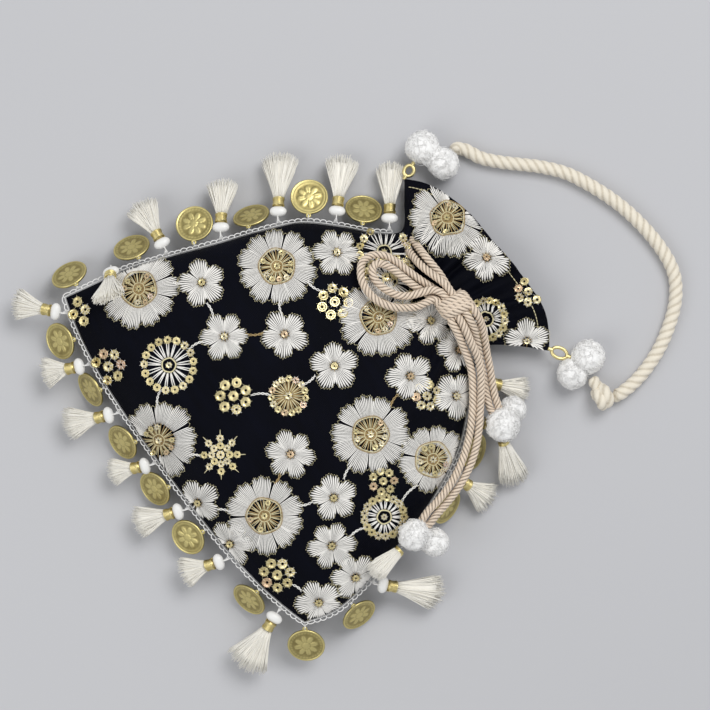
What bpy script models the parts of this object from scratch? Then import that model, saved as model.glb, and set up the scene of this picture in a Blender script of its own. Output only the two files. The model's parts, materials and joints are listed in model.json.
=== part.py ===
"""Potli bag: a gathered drawstring pouch lying on its back, with trimmed seams and a rope handle.

Metres, +Z up. The origin is the middle of the flat underside. +Y runs from the base to the mouth and
+X along the base, with the bag's embroidered front facing up.
"""

import math

import bmesh
import bpy
from mathutils import Matrix, Vector
from mathutils.bvhtree import BVHTree
from mathutils.geometry import delaunay_2d_cdt

PARTS_COLLECTION = "potli_bag"
CUTTERS_COLLECTION = "cutters"

# Cloth body. Each station across the bag, from the base seam to the mouth, gives the two side seams,
# the seam's height, the height of the front over the middle and the lowest line of the back.
CLOTH_WALL = 0.0015
SEAM_HEIGHT = 0.019
BELLY_HEIGHT = 0.046
NECK_HEIGHT = 0.0245
NECK_UNDERSIDE = 0.0010
STATIONS = (
    ((-0.1040, -0.0760), (0.0970, -0.0710), SEAM_HEIGHT, SEAM_HEIGHT, SEAM_HEIGHT),
    ((-0.1015, -0.0620), (0.1008, -0.0560), SEAM_HEIGHT, 0.78 * BELLY_HEIGHT, 0.0),
    ((-0.0980, -0.0430), (0.0995, -0.0400), SEAM_HEIGHT, 0.93 * BELLY_HEIGHT, 0.0),
    ((-0.0910, -0.0220), (0.0955, -0.0230), SEAM_HEIGHT, BELLY_HEIGHT, 0.0),
    ((-0.0830, 0.0000), (0.0890, 0.0000), SEAM_HEIGHT, BELLY_HEIGHT, 0.0),
    ((-0.0755, 0.0220), (0.0805, 0.0220), SEAM_HEIGHT, 0.96 * BELLY_HEIGHT, 0.0),
    ((-0.0675, 0.0410), (0.0700, 0.0410), 0.95 * SEAM_HEIGHT, 0.86 * BELLY_HEIGHT, 0.0),
    ((-0.0550, 0.0560), (0.0570, 0.0560), 0.86 * SEAM_HEIGHT, 0.73 * BELLY_HEIGHT, 0.0),
    ((-0.0430, 0.0680), (0.0445, 0.0690), 0.70 * SEAM_HEIGHT, 0.58 * BELLY_HEIGHT, 0.0004),
    ((-0.0365, 0.0770), (0.0370, 0.0780), 0.60 * SEAM_HEIGHT, NECK_HEIGHT, NECK_UNDERSIDE),
    ((-0.0365, 0.0830), (0.0370, 0.0840), 0.60 * SEAM_HEIGHT, NECK_HEIGHT, NECK_UNDERSIDE),
    ((-0.0460, 0.0900), (0.0450, 0.0950), 0.57 * SEAM_HEIGHT, 0.86 * NECK_HEIGHT, NECK_UNDERSIDE),
    ((-0.0560, 0.0970), (0.0565, 0.1070), 0.55 * SEAM_HEIGHT, 0.78 * NECK_HEIGHT, NECK_UNDERSIDE),
)
BASE_BOW = 0.011
BASE_BOW_STATIONS = 6.0
MOUTH_BOW = 0.014
MOUTH_BOW_START = 10.0
ROWS = (0.0, 0.35, 0.75, 1.25, 2.0, 3.0, 4.0, 5.0, 6.0, 6.7, 7.4, 8.0, 8.5, 9.0, 10.0, 10.6, 11.3, 12.0)
COLUMNS = 28
FRONT_FULLNESS = (2.4, 0.62)
BACK_FULLNESS = (7.0, 0.75)
BASE_SPREAD = 3
MOUTH_SPREAD = 4
BACK_PLEAT = 0.5
BACK_FLUTE = 0.25

# Gathers: narrow pleats at the drawn neck, broad flutes along the frill.
PLEATS = 8
PLEAT_DEPTH = 0.0014
PLEAT_START = 5.0
PLEAT_FULL = 8.0
FLUTES = 4
FLUTE_DEPTH = 0.0030
FLUTE_START = 10.0
PLEAT_END = 2.0

# The drawstrings run round the back of the neck, inside it, and leave by a slot at each side of the front.
CORD_DIAMETER = 0.004
SLOT_SIZE = (0.0140, 0.0100, 0.0150)
SLOT_PLACES = (("left", -0.0226), ("right", 0.0250))
SLOT_CENTRE = (0.0802, 0.0232)

# Edge trim.
LACE_OFFSET = 0.0006
LACE_WIDTH = 0.0014
LACE_PICOT = 0.0003
LACE_THICKNESS = 0.0009
LACE_PITCH = 0.0065
LACE_LEFT_END = 8.9
LACE_RIGHT_END = 8.5
SEAM_STEPS = 60
SEAM_TURN = 0.004
HINGE_GAP = 0.0003

# Coins.
COIN_DIAMETER = 0.019
COIN_THICKNESS = 0.0014
COIN_RIM = 0.0009
EYELET_RADIUS = 0.0009
EYELET_WIRE = 0.0005
EYELET_OVERLAP = 0.6
COIN_FIELD = 0.6
COIN_SIDES = 12

# Tassels.
LOOP_RADIUS = 0.0014
HEAD_SIZE = (0.0054, 0.0068, 0.0050)
CAP_RADIUS = 0.0030
CAP_LENGTH = 0.0047
LOOP_SHARES = ((-0.6, 0.75), (0.5, 0.85))
HEAD_SHARES = (0.25, 0.75)
HEAD_FULLNESS = 0.46
CAP_NECK = 0.8
CAP_SWELL = 0.3
CAP_END = 0.85
SKIRT_NARROW = 0.0030
SKIRT_NARROW_SHARE = 0.75
SKIRT_HEM = 0.12
SKIRT_HEM_SHARES = (0.85, 0.6)
SKIRT_CLEAR_RADIUS = 0.0235
SKIRT_THICKNESS = 0.0030
TASSEL_SIDES = 8

# Pendants along the seam: name, distance from the trim's left end, slant in the hanging plane, rise
# above level, a tassel's skirt length and half width, and the lowest and highest rise.
LOW, HIGH = -78.0, 72.0
TASSELS = (
    ("01", 0.0014, -2.5, -12.0, 0.0228, 0.0074, LOW, HIGH),
    ("02", 0.0295, 2.0, -18.0, 0.0235, 0.0085, LOW, HIGH),
    ("03", 0.0575, -14.0, -20.0, 0.0250, 0.0095, LOW, HIGH),
    ("04", 0.0870, -16.0, -20.0, 0.0190, 0.0080, LOW, HIGH),
    ("05", 0.1155, 14.0, -20.0, 0.0190, 0.0085, LOW, HIGH),
    ("06", 0.1435, 12.0, 121.0, 0.0200, 0.0085, LOW, 121.0),
    ("07", 0.1770, -30.0, -20.0, 0.0170, 0.0080, LOW, HIGH),
    ("08", 0.2050, -16.0, -20.0, 0.0140, 0.0080, LOW, HIGH),
    ("09", 0.2330, -20.0, -20.0, 0.0185, 0.0085, LOW, HIGH),
    ("10", 0.2640, -22.0, -26.0, 0.0140, 0.0070, LOW, HIGH),
    ("11", 0.2920, -20.0, -20.0, 0.0180, 0.0085, LOW, HIGH),
    ("12", 0.3240, -22.0, -20.0, 0.0150, 0.0080, LOW, HIGH),
    ("13", 0.3600, 8.0, -14.0, 0.0250, 0.0110, LOW, HIGH),
    ("14", 0.4130, 30.0, -20.0, 0.0260, 0.0090, LOW, 50.0),
    ("15", 0.4790, -6.0, -34.0, 0.0180, 0.0085, LOW, -26.0),
    ("16", 0.5070, 0.0, -36.0, 0.0140, 0.0060, LOW, -34.0),
    ("17", 0.5280, -2.0, -22.0, 0.0165, 0.0070, LOW, -18.0),
)
COINS = (
    ("01", 0.0160, 5.0, -42.0, LOW, HIGH),
    ("02", 0.0430, 0.0, -20.0, LOW, HIGH),
    ("03", 0.0725, -15.0, -56.0, LOW, HIGH),
    ("04", 0.1010, -14.0, -20.0, LOW, HIGH),
    ("05", 0.1295, 14.0, -50.0, LOW, HIGH),
    ("06", 0.1630, 10.0, -50.0, LOW, HIGH),
    ("07", 0.1910, -14.0, -42.0, LOW, HIGH),
    ("08", 0.2190, -18.0, -58.0, LOW, HIGH),
    ("09", 0.2500, -22.0, -50.0, LOW, HIGH),
    ("10", 0.2780, -20.0, -46.0, LOW, HIGH),
    ("11", 0.3060, -14.0, -36.0, LOW, HIGH),
    ("12", 0.3460, 0.0, -52.0, LOW, HIGH),
    ("13", 0.3740, 8.0, -30.0, LOW, HIGH),
    ("14", 0.3980, -8.0, -54.0, LOW, HIGH),
    ("15", 0.4930, 0.0, -58.0, LOW, -48.0),
    ("16", 0.4650, -6.0, -58.0, LOW, -50.0),
)

# Embroidery: low discs of thread over the cloth, joined by thread bars. Centres are in plan.
THREAD_HEIGHT = 0.0007
THREAD_LIFT = 0.0006
THREAD_BAR_WIDTH = 0.0014
BAR_ROOT = 0.35
THREAD_GRID = 0.0100
THREAD_REACH = 0.0030
THREAD_SAG = 0.0008
THREAD_TILT = 0.45
CREST_SHARES = (-1.0, -0.7, -0.35, 0.0, 0.35, 0.7, 1.0)
GATHER_START = 0.020
GATHER_REACH = 0.030
SEAM_MARGIN = 0.0035
FRILL_LOWEST = 0.0864
FRILL_GRID = 0.0070
NET_REACH = 0.150
MOTIF_SHAPES = {
    "daisy": (0.0192, 12, 2, 0.90),
    "flower": (0.0118, 5, 2, 0.72),
    "rosette": (0.0098, 9, 1, 1.0),
    "wheel": (0.0148, 10, 1, 1.0),
    "medallion": (0.0098, 8, 1, 1.0),
    "star": (0.0120, 8, 2, 0.45),
}
FRONT_MOTIFS = (
    ("daisy", -0.0554, 0.0193),
    ("daisy", -0.0840, -0.0431),
    ("daisy", -0.0063, 0.0430),
    ("daisy", 0.0385, 0.0097),
    ("daisy", 0.0415, -0.0558),
    ("daisy", -0.0189, -0.0710),
    ("daisy", 0.0664, 0.0286),
    ("flower", -0.0701, -0.0156),
    ("flower", -0.0418, -0.0214),
    ("flower", -0.0257, 0.0034),
    ("flower", 0.0010, 0.0145),
    ("flower", 0.0239, -0.0277),
    ("flower", 0.0536, -0.0228),
    ("flower", 0.0727, -0.0374),
    ("flower", 0.0885, -0.0560),
    ("flower", 0.0900, -0.0330),
    ("flower", 0.0263, 0.0420),
    ("flower", 0.0470, 0.0540),
    ("flower", 0.0120, 0.0640),
    ("flower", -0.0442, 0.0474),
    ("flower", 0.0178, -0.0770),
    ("flower", 0.0437, -0.0765),
    ("rosette", -0.0634, -0.0720),
    ("rosette", -0.0154, -0.0343),
    ("rosette", -0.0248, 0.0326),
    ("rosette", 0.0690, -0.0680),
    ("rosette", 0.0420, 0.0370),
    ("rosette", 0.0617, 0.0010),
    ("rosette", -0.0930, -0.0660),
    ("wheel", -0.0461, -0.0519),
    ("wheel", -0.0180, 0.0600),
    ("wheel", 0.0759, -0.0067),
    ("medallion", 0.0000, -0.0122),
    ("star", 0.0046, -0.0562),
)
FRILL_MOTIFS = (
    ("daisy", -0.0270, 0.1000),
    ("flower", -0.0010, 0.1060),
    ("flower", 0.0190, 0.1030),
    ("flower", 0.0440, 0.0990),
    ("rosette", 0.0310, 0.1080),
)

# Knot of the drawstrings: turns of cord bound round the strands, with a flat face at each end.
KNOT_CENTRE = (0.0105, 0.0806, 0.0316)
KNOT_HALF = (0.0059, 0.0088, 0.0050)
KNOT_TURNS = 3
KNOT_GROOVE = 0.90
KNOT_SQUARENESS = 3.0
KNOT_SIDES = 16

# Cords: points in millimetres along each one's middle.
DRAWCORD_1 = (
    (4.3, 82.7, 33.75), (1.0, 82.6, 33.6), (-3.0, 81.9, 33.0), (-8.0, 80.3, 31.6), (-13.0, 78.8, 29.6),
    (-17.0, 78.0, 27.2), (-20.4, 77.8, 24.0), (-23.7, 77.8, 20.2), (-27.0, 77.8, 16.4), (-29.6, 77.8, 12.6),
    (-29.0, 77.8, 9.0), (-25.5, 77.8, 6.9), (-20.0, 77.8, 6.0), (-10.0, 77.8, 5.9), (0.0, 77.8, 5.9),
    (10.0, 77.8, 5.9), (20.0, 77.8, 6.0), (25.6, 77.8, 6.9), (29.4, 77.8, 9.2), (30.2, 77.8, 13.0),
    (28.2, 77.8, 17.2), (25.4, 77.8, 21.2), (22.6, 77.9, 25.2), (19.9, 78.3, 28.5), (18.4, 78.5, 29.3),
    (16.7, 78.5, 29.45),
)
DRAWCORD_2 = (
    (4.3, 82.7, 29.45), (0.0, 83.0, 28.9), (-6.0, 83.4, 28.0), (-12.0, 83.1, 27.6), (-16.8, 82.7, 26.8),
    (-20.4, 82.6, 24.0), (-23.7, 82.6, 20.2), (-27.0, 82.6, 16.4), (-29.6, 82.6, 12.6), (-29.0, 82.6, 9.0),
    (-25.5, 82.6, 6.9), (-20.0, 82.6, 6.0), (-10.0, 82.6, 5.9), (0.0, 82.6, 5.9), (10.0, 82.6, 5.9),
    (20.0, 82.6, 6.0), (25.6, 82.6, 6.9), (29.4, 82.6, 9.2), (30.2, 82.6, 13.0), (28.2, 82.6, 17.2),
    (25.4, 82.6, 21.2), (22.6, 82.6, 25.2), (19.9, 82.7, 28.5), (18.4, 82.8, 29.3), (16.7, 82.8, 29.45),
)
LOOP_OUTER = (
    (4.3, 78.5, 29.45), (1.0, 78.0, 29.2), (-3.0, 76.6, 28.7), (-9.0, 74.0, 29.8), (-17.0, 71.2, 30.4),
    (-24.4, 68.9, 30.8), (-30.0, 65.8, 32.0), (-33.4, 60.5, 33.6), (-32.8, 54.6, 36.2),
    (-27.0, 50.2, 39.8), (-20.5, 49.0, 40.8), (-13.0, 50.3, 41.0), (-6.5, 54.6, 39.8), (-2.4, 59.6, 37.8),
    (0.4, 64.8, 36.0), (1.2, 69.6, 35.0), (2.2, 73.3, 33.85), (3.2, 74.3, 33.75), (4.3, 74.4, 33.75),
)
LOOP_INNER = (
    (4.3, 74.2, 29.45), (1.0, 73.8, 29.5), (-3.0, 72.2, 29.8), (-9.0, 69.5, 32.1), (-17.0, 67.0, 32.5),
    (-24.0, 64.6, 32.8), (-28.2, 61.3, 34.6), (-27.9, 57.6, 36.8), (-23.5, 55.3, 38.0),
    (-17.0, 56.2, 38.2), (-10.5, 59.5, 37.6), (-6.5, 64.2, 36.1), (-4.4, 69.6, 35.2), (-2.4, 75.4, 34.0),
    (1.3, 78.4, 33.8), (4.3, 78.8, 33.75),
)
TAIL_1A = (
    (16.7, 87.0, 33.75), (20.0, 86.9, 33.2), (25.0, 86.2, 29.0), (30.0, 84.6, 25.6), (35.0, 82.4, 23.0),
    (40.0, 80.0, 21.2), (45.0, 77.9, 20.2), (50.0, 75.6, 19.6), (55.0, 73.2, 19.2), (60.0, 71.2, 18.8),
    (63.6, 70.2, 18.6),
)
TAIL_1B = (
    (16.7, 82.7, 33.75), (20.0, 82.6, 33.4), (25.0, 81.7, 30.2), (30.0, 80.1, 26.2), (35.0, 78.0, 23.6),
    (40.0, 75.6, 21.8), (45.0, 73.5, 20.6), (50.0, 71.2, 19.8), (55.0, 68.8, 19.4), (60.0, 66.9, 19.0),
    (63.4, 65.8, 18.8),
)
TAIL_2A = (
    (16.7, 78.5, 33.75), (20.0, 78.3, 33.5), (25.0, 77.6, 32.6), (30.0, 76.6, 30.8), (35.0, 75.9, 28.6),
    (40.0, 74.6, 26.6), (45.0, 72.3, 25.2), (50.0, 69.2, 24.2), (55.0, 65.6, 23.4), (60.6, 61.2, 22.8),
    (67.0, 56.2, 22.4), (73.4, 50.2, 22.2), (79.0, 43.4, 22.2), (83.6, 35.6, 22.6), (87.2, 27.0, 23.0),
    (89.6, 18.4, 24.4), (90.9, 12.4, 27.0), (92.2, 8.4, 28.8),
)
TAIL_2B = (
    (16.7, 74.2, 33.75), (20.0, 74.0, 33.1), (25.0, 73.3, 30.8), (30.0, 72.2, 28.2), (35.0, 71.2, 26.2),
    (40.0, 69.7, 24.6), (45.0, 67.3, 23.6), (50.0, 64.2, 22.8), (55.0, 60.8, 22.2), (60.0, 56.8, 22.4),
    (65.6, 51.8, 22.6), (70.8, 46.4, 22.8), (75.6, 40.2, 23.4), (79.8, 33.2, 24.2), (83.2, 25.4, 25.2),
    (85.4, 17.6, 26.6), (86.4, 11.8, 28.6), (87.6, 7.9, 30.4),
)
ROPE_DIAMETER = 0.007
ROPE = (
    (-53.6, 128.2, 4.0), (-50.3, 131.4, 3.7), (-42.8, 135.4, 3.6), (-34.9, 142.8, 3.6), (-27.5, 151.2, 3.6),
    (-20.9, 158.4, 3.6), (-11.5, 166.4, 3.6), (0.0, 172.6, 3.6), (12.1, 177.6, 3.6), (23.4, 180.9, 3.6),
    (36.2, 183.1, 3.6), (47.3, 183.7, 3.6), (56.7, 182.9, 3.6), (64.7, 180.2, 3.6), (72.9, 174.4, 3.6),
    (79.9, 166.5, 3.6), (87.0, 155.7, 3.6), (91.9, 144.4, 3.7), (94.7, 133.4, 4.2), (95.2, 123.4, 5.0),
)
CORD_STEP = 0.0060
CORD_END = 0.0012
ROUTE_STEPS = 400
ROPE_STEP = 0.0110

# Pompoms: each tied pair's two centres and radii, in millimetres.
POMPOMS = (
    ("pompoms_tail_1", ((73.3, 66.4, 21.4), 9.0), ((70.1, 75.2, 13.0), 7.0)),
    ("pompoms_tail_2", ((92.0, -1.2, 33.2), 8.3), ((101.1, 4.9, 26.0), 7.5)),
    ("pompoms_handle_upper", ((-63.8, 113.6, 9.6), 9.0), ((-51.3, 117.6, 8.6), 8.4)),
    ("pompoms_handle_lower", ((70.4, 121.5, 9.1), 9.0), ((72.8, 110.1, 8.4), 8.2)),
)
POMPOM_RINGS = (8, 12)

# Tassels tied to the drawstrings: start, end, half width of the skirt and roll about its length.
CORD_TASSELS = (
    ("tail_tassel_1", (80.1, 62.1, 16.6), (103.0, 55.0, 4.6), 7.6, 0.0),
    ("tail_tassel_2", (94.2, -10.8, 30.8), (96.2, -30.4, 33.2), 6.2, 44.0),
)
CORD_TASSEL_WRAP = 0.0032
CORD_TASSEL_FLAT = 0.9
CORD_TASSEL_START = (0.0, 0.6)
CORD_TASSEL_BOUND = (0.2, 1.4)
CORD_TASSEL_SPREAD = (0.55, 0.62, 0.3)
CORD_TASSEL_HEM = ((0.94, 1.0, 1.0), (1.0, 0.92, 0.6))

# Handle: gold loops at the frill's corners, and the knot at the rope's lower end with its short stub.
LOOP_WIRE = 0.0008
LOOP_STEPS = 16
LOOP_SIDES = 6
HANDLE_LOOPS = (
    ("handle_loop_upper", (-56.9, 98.8, 10.0), (-59.3, 104.0, 9.8), 0.0024),
    ("handle_loop_lower", (57.1, 108.6, 10.2), (63.9, 113.0, 9.6), 0.0026),
)
ROPE_KNOT_CENTRE = (0.0916, 0.1163, 0.0068)
ROPE_KNOT_HALF = (0.0052, 0.0066, 0.0060)
ROPE_STUB = (-0.0118, 0.0010, 0.0)


def clear_scene():
    for obj in list(bpy.data.objects):
        bpy.data.objects.remove(obj, do_unlink=True)


def collection(name):
    made = bpy.data.collections.new(name)
    bpy.context.scene.collection.children.link(made)
    return made


def material(name, colour, roughness, metallic=0.0):
    made = bpy.data.materials.new(name)
    made.use_nodes = True
    shader = made.node_tree.nodes["Principled BSDF"]
    shader.inputs["Base Color"].default_value = (*colour, 1.0)
    shader.inputs["Roughness"].default_value = roughness
    shader.inputs["Metallic"].default_value = metallic
    made.diffuse_color = (*colour, 1.0)
    return made


def link(obj, finish):
    bpy.data.collections[PARTS_COLLECTION].objects.link(obj)
    if not obj.data.materials:
        obj.data.materials.append(finish)
    return obj


def mesh_object(name, mesh_data, finish, closed=True):
    """Puts a bmesh into a new object, smooth except at sharp edges."""
    if closed:
        bmesh.ops.recalc_face_normals(mesh_data, faces=mesh_data.faces)
    data = bpy.data.meshes.new(name)
    mesh_data.to_mesh(data)
    mesh_data.free()
    data.shade_smooth()
    data.set_sharp_from_angle(angle=math.radians(40.0))
    return link(bpy.data.objects.new(name, data), finish)


def applied(obj):
    """Replaces an object's mesh by the one that its modifiers give."""
    graph = bpy.context.evaluated_depsgraph_get()
    data = bpy.data.meshes.new_from_object(obj.evaluated_get(graph))
    obj.modifiers.clear()
    old = obj.data
    obj.data = data
    bpy.data.meshes.remove(old)
    return obj


def between(values, t):
    """A smooth value at t along a list, by Catmull-Rom through its entries."""
    last = len(values) - 1
    i = min(int(t), last - 1)
    f = t - i
    a, b = values[max(i - 1, 0)], values[i]
    c, d = values[i + 1], values[min(i + 2, last)]
    return 0.5 * (2 * b + (c - a) * f + (2 * a - 5 * b + 4 * c - d) * f**2 + (3 * b - a - 3 * c + d) * f**3)


def ease(x):
    x = min(max(x, 0.0), 1.0)
    return x * x * (3.0 - 2.0 * x)


def station(t):
    """Left seam, right seam, seam height, front height and back height at a place between stations."""
    left = Vector([between([s[0][k] for s in STATIONS], t) for k in (0, 1)])
    right = Vector([between([s[1][k] for s in STATIONS], t) for k in (0, 1)])
    seam, crown, under = (between([s[k] for s in STATIONS], t) for k in (2, 3, 4))
    return left, right, seam, crown, max(under, 0.0)


def cloth_point(u, t, front):
    """A point of the outer cloth: u from -1 at the left seam to 1 at the right, t along the stations."""
    left, right, seam, crown, under = station(t)
    plan = left.lerp(right, (u + 1.0) / 2.0)
    plan.y -= BASE_BOW * (1.0 - abs(u) ** BASE_SPREAD) * max(0.0, 1.0 - t / BASE_BOW_STATIONS) ** 2
    last = len(STATIONS) - 1
    plan.y += MOUTH_BOW * (1.0 - u**MOUTH_SPREAD) * ease((t - MOUTH_BOW_START) / (last - MOUTH_BOW_START))
    power, root = FRONT_FULLNESS if front else BACK_FULLNESS
    rise = max(0.0, 1.0 - abs(u) ** power) ** root
    side = 1.0 if front else -1.0
    gathered = ease((t - PLEAT_START) / (PLEAT_FULL - PLEAT_START))
    pleat = PLEAT_DEPTH * gathered * (1.0 - ease((t - FLUTE_START) / PLEAT_END))
    fold = pleat * math.sin(math.pi * PLEATS * (u + 1.0))
    flute = FLUTE_DEPTH * ease((t - FLUTE_START) / (last - FLUTE_START))
    wave = flute * math.sin(math.pi * FLUTES * (u + 1.0)) * (1.0 if front else BACK_FLUTE)
    goal = crown if front else under
    z = seam + (goal - seam) * rise + (side * fold * (1.0 if front else BACK_PLEAT) + wave)
    return Vector((plan.x, plan.y, max(z, under if not front else 0.0)))


def build_pouch(finish):
    """The cloth body: front and back sheets that share the seam, given the cloth's thickness."""
    shape = bmesh.new()
    turns = [0.5 * (k / COLUMNS + smooth_share(k / COLUMNS)) for k in range(COLUMNS + 1)]
    us = [-math.cos(math.pi * turn) for turn in turns]
    front = [[shape.verts.new(cloth_point(u, t, True)) for u in us] for t in ROWS]
    back = [list(front[0])]
    for row, t in zip(front[1:], ROWS[1:]):
        inner = [shape.verts.new(cloth_point(u, t, False)) for u in us[1:-1]]
        back.append([row[0], *inner, row[-1]])
    for sheet in (front, back):
        for low, high in zip(sheet, sheet[1:]):
            for k in range(COLUMNS):
                corners = [low[k], low[k + 1], high[k + 1], high[k]]
                shape.faces.new(corners if sheet is front else corners[::-1])
    pouch = mesh_object("pouch", shape, finish, closed=False)
    wall = pouch.modifiers.new("cloth_thickness", "SOLIDIFY")
    wall.thickness = CLOTH_WALL
    wall.offset = -1.0
    wall.use_even_offset = False
    return pouch


def smooth_share(x):
    """Spreads the columns between evenly spaced ones and ones drawn towards the seams."""
    return math.acos(1.0 - 2.0 * x) / math.pi


def cut_slots(pouch):
    """The two slots in the front of the neck where the drawstrings leave the casing."""
    for side, x in SLOT_PLACES:
        shape = bmesh.new()
        bmesh.ops.create_cube(shape, size=1.0)
        bmesh.ops.scale(shape, vec=SLOT_SIZE, verts=shape.verts)
        bmesh.ops.translate(shape, vec=(x, *SLOT_CENTRE), verts=shape.verts)
        data = bpy.data.meshes.new(f"slot_{side}_cutter")
        shape.to_mesh(data)
        shape.free()
        cutter = bpy.data.objects.new(data.name, data)
        cutter.hide_render = True
        cutter.display_type = "WIRE"
        bpy.data.collections[CUTTERS_COLLECTION].objects.link(cutter)
        cut = pouch.modifiers.new(f"slot_{side}", "BOOLEAN")
        cut.operation = "DIFFERENCE"
        cut.object = cutter
        cut.solver = "EXACT"


def seam_path():
    """Points along the trimmed seam, from the left of the neck round the base to the right of the neck."""
    left = [cloth_point(-1.0, LACE_LEFT_END * (1.0 - k / SEAM_STEPS), True) for k in range(SEAM_STEPS)]
    base = [cloth_point(-1.0 + 2.0 * k / SEAM_STEPS, 0.0, True) for k in range(SEAM_STEPS)]
    right = [cloth_point(1.0, LACE_RIGHT_END * k / SEAM_STEPS, True) for k in range(SEAM_STEPS + 1)]
    return left + base + right


def point_along(path, distance):
    """The point at a distance along a path, held at its ends."""
    for a, b in zip(path, path[1:]):
        step = (b - a).length
        if distance <= step:
            return a.lerp(b, max(distance, 0.0) / step)
        distance -= step
    return path[-1].copy()


def path_length(path):
    return sum((b - a).length for a, b in zip(path, path[1:]))


def seam_frame(path, distance):
    """The seam point at a distance along the trim, and the outward direction there."""
    run = point_along(path, distance + SEAM_TURN) - point_along(path, distance - SEAM_TURN)
    return point_along(path, distance), Vector((run.y, -run.x, 0.0)).normalized()


def hinge_frame(path, distance):
    """A pendant's pivot point, outward direction and hinge axis, at the lace's outer edge."""
    point, outward = seam_frame(path, distance)
    away = LACE_OFFSET + LACE_WIDTH + LACE_PICOT + HINGE_GAP + EYELET_RADIUS + EYELET_WIRE
    return point + outward * away, outward, outward.cross(Vector((0.0, 0.0, 1.0)))


def pendant_matrix(path, distance, slant, rise):
    """Local +X runs down the pendant and local Z is its thin way; the pivot is the local origin."""
    pivot, outward, axis = hinge_frame(path, distance)
    across = Vector((0.0, 0.0, 1.0)).cross(outward)
    basis = Matrix((outward, across, Vector((0.0, 0.0, 1.0)))).transposed().to_4x4()
    turn = Matrix.Rotation(math.radians(rise), 4, axis)
    return Matrix.Translation(pivot) @ turn @ basis @ Matrix.Rotation(math.radians(slant), 4, "Z")


def loft(rings):
    """A closed body through rings of equal count, closed by a point at each end."""
    shape = bmesh.new()
    start, *bands, end = rings
    tip = shape.verts.new(start)
    rows = [[shape.verts.new(p) for p in band] for band in bands]
    tail = shape.verts.new(end)
    count = len(rows[0])
    for k in range(count):
        n = (k + 1) % count
        shape.faces.new((tip, rows[0][k], rows[0][n]))
        shape.faces.new((tail, rows[-1][n], rows[-1][k]))
        for low, high in zip(rows, rows[1:]):
            shape.faces.new((low[k], high[k], high[n], low[n]))
    return shape


def oval(x, half_width, half_height, sides=TASSEL_SIDES):
    turns = [2.0 * math.pi * k / sides for k in range(sides)]
    return [Vector((x, half_width * math.cos(turn), half_height * math.sin(turn))) for turn in turns]


def tassel_body(skirt, half_width):
    """Thread loop, folded head, wrapped cap and spread skirt, as one sewn piece."""
    length, across, high = HEAD_SIZE
    head = LOOP_RADIUS
    cap = head + length
    root = cap + CAP_LENGTH
    end = root + skirt
    narrow = min(SKIRT_CLEAR_RADIUS, root + SKIRT_NARROW_SHARE * skirt)
    half_across, half_high = HEAD_FULLNESS * across, HEAD_FULLNESS * high
    hem_width, hem_thickness = SKIRT_HEM_SHARES
    return loft(
        [
            Vector((-LOOP_RADIUS, 0.0, 0.0)),
            *(oval(place * LOOP_RADIUS, size * LOOP_RADIUS, size * LOOP_RADIUS) for place, size in LOOP_SHARES),
            *(oval(head + place * length, half_across, half_high) for place in HEAD_SHARES),
            oval(cap, CAP_NECK * CAP_RADIUS, CAP_NECK * CAP_RADIUS),
            oval(cap + CAP_SWELL * CAP_LENGTH, CAP_RADIUS, CAP_RADIUS),
            oval(root, CAP_END * CAP_RADIUS, CAP_END * CAP_RADIUS),
            oval(narrow, SKIRT_NARROW, SKIRT_NARROW),
            oval(end - SKIRT_HEM * skirt, half_width, SKIRT_THICKNESS),
            oval(end, hem_width * half_width, hem_thickness * SKIRT_THICKNESS),
            Vector((end, 0.0, 0.0)),
        ]
    )


def coin_body():
    """A turned coin with a raised rim on both faces, joined to its eyelet."""
    radius = COIN_DIAMETER / 2.0
    half = COIN_THICKNESS / 2.0
    face = COIN_FIELD * half
    profile = (
        (0.0, face),
        (radius - 2.0 * COIN_RIM, face),
        (radius - COIN_RIM, half),
        (radius, 0.0),
        (radius - COIN_RIM, -half),
        (radius - 2.0 * COIN_RIM, -face),
        (0.0, -face),
    )
    shape = bmesh.new()
    points = [shape.verts.new((x, 0.0, z)) for x, z in profile]
    for a, b in zip(points, points[1:]):
        shape.edges.new((a, b))
    data = bpy.data.meshes.new("coin_profile")
    shape.to_mesh(data)
    shape.free()
    disc = bpy.data.objects.new("coin_profile", data)
    bpy.context.scene.collection.objects.link(disc)
    screw = disc.modifiers.new("turn", "SCREW")
    screw.axis = "Z"
    screw.steps = screw.render_steps = COIN_SIDES
    screw.use_merge_vertices = True
    screw.merge_threshold = 1e-5
    bpy.ops.mesh.primitive_torus_add(
        major_radius=EYELET_RADIUS, minor_radius=EYELET_WIRE, major_segments=8, minor_segments=4
    )
    ring = bpy.context.active_object
    ring.location.x = -(radius + EYELET_OVERLAP * EYELET_RADIUS)
    join = disc.modifiers.new("eyelet", "BOOLEAN")
    join.operation = "UNION"
    join.object = ring
    join.solver = "EXACT"
    bpy.context.view_layer.update()
    applied(disc)
    made = disc.data.copy()
    made.transform(Matrix.Translation((radius + EYELET_OVERLAP * EYELET_RADIUS, 0.0, 0.0)))
    made.set_sharp_from_angle(angle=math.radians(30.0))
    for helper in (disc, ring):
        bpy.data.objects.remove(helper, do_unlink=True)
    return made


def petal_outline(kind, x, y):
    """A motif's edge: rounded petals round its centre, or a plain round where it has none."""
    radius, petals, steps, valley = MOTIF_SHAPES[kind]
    count = petals * steps
    points = []
    for k in range(count):
        reach = radius if k % steps else radius * valley
        turn = 2.0 * math.pi * k / count
        points.append(Vector((x + reach * math.cos(turn), y + reach * math.sin(turn), 0.0)))
    return points


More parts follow.
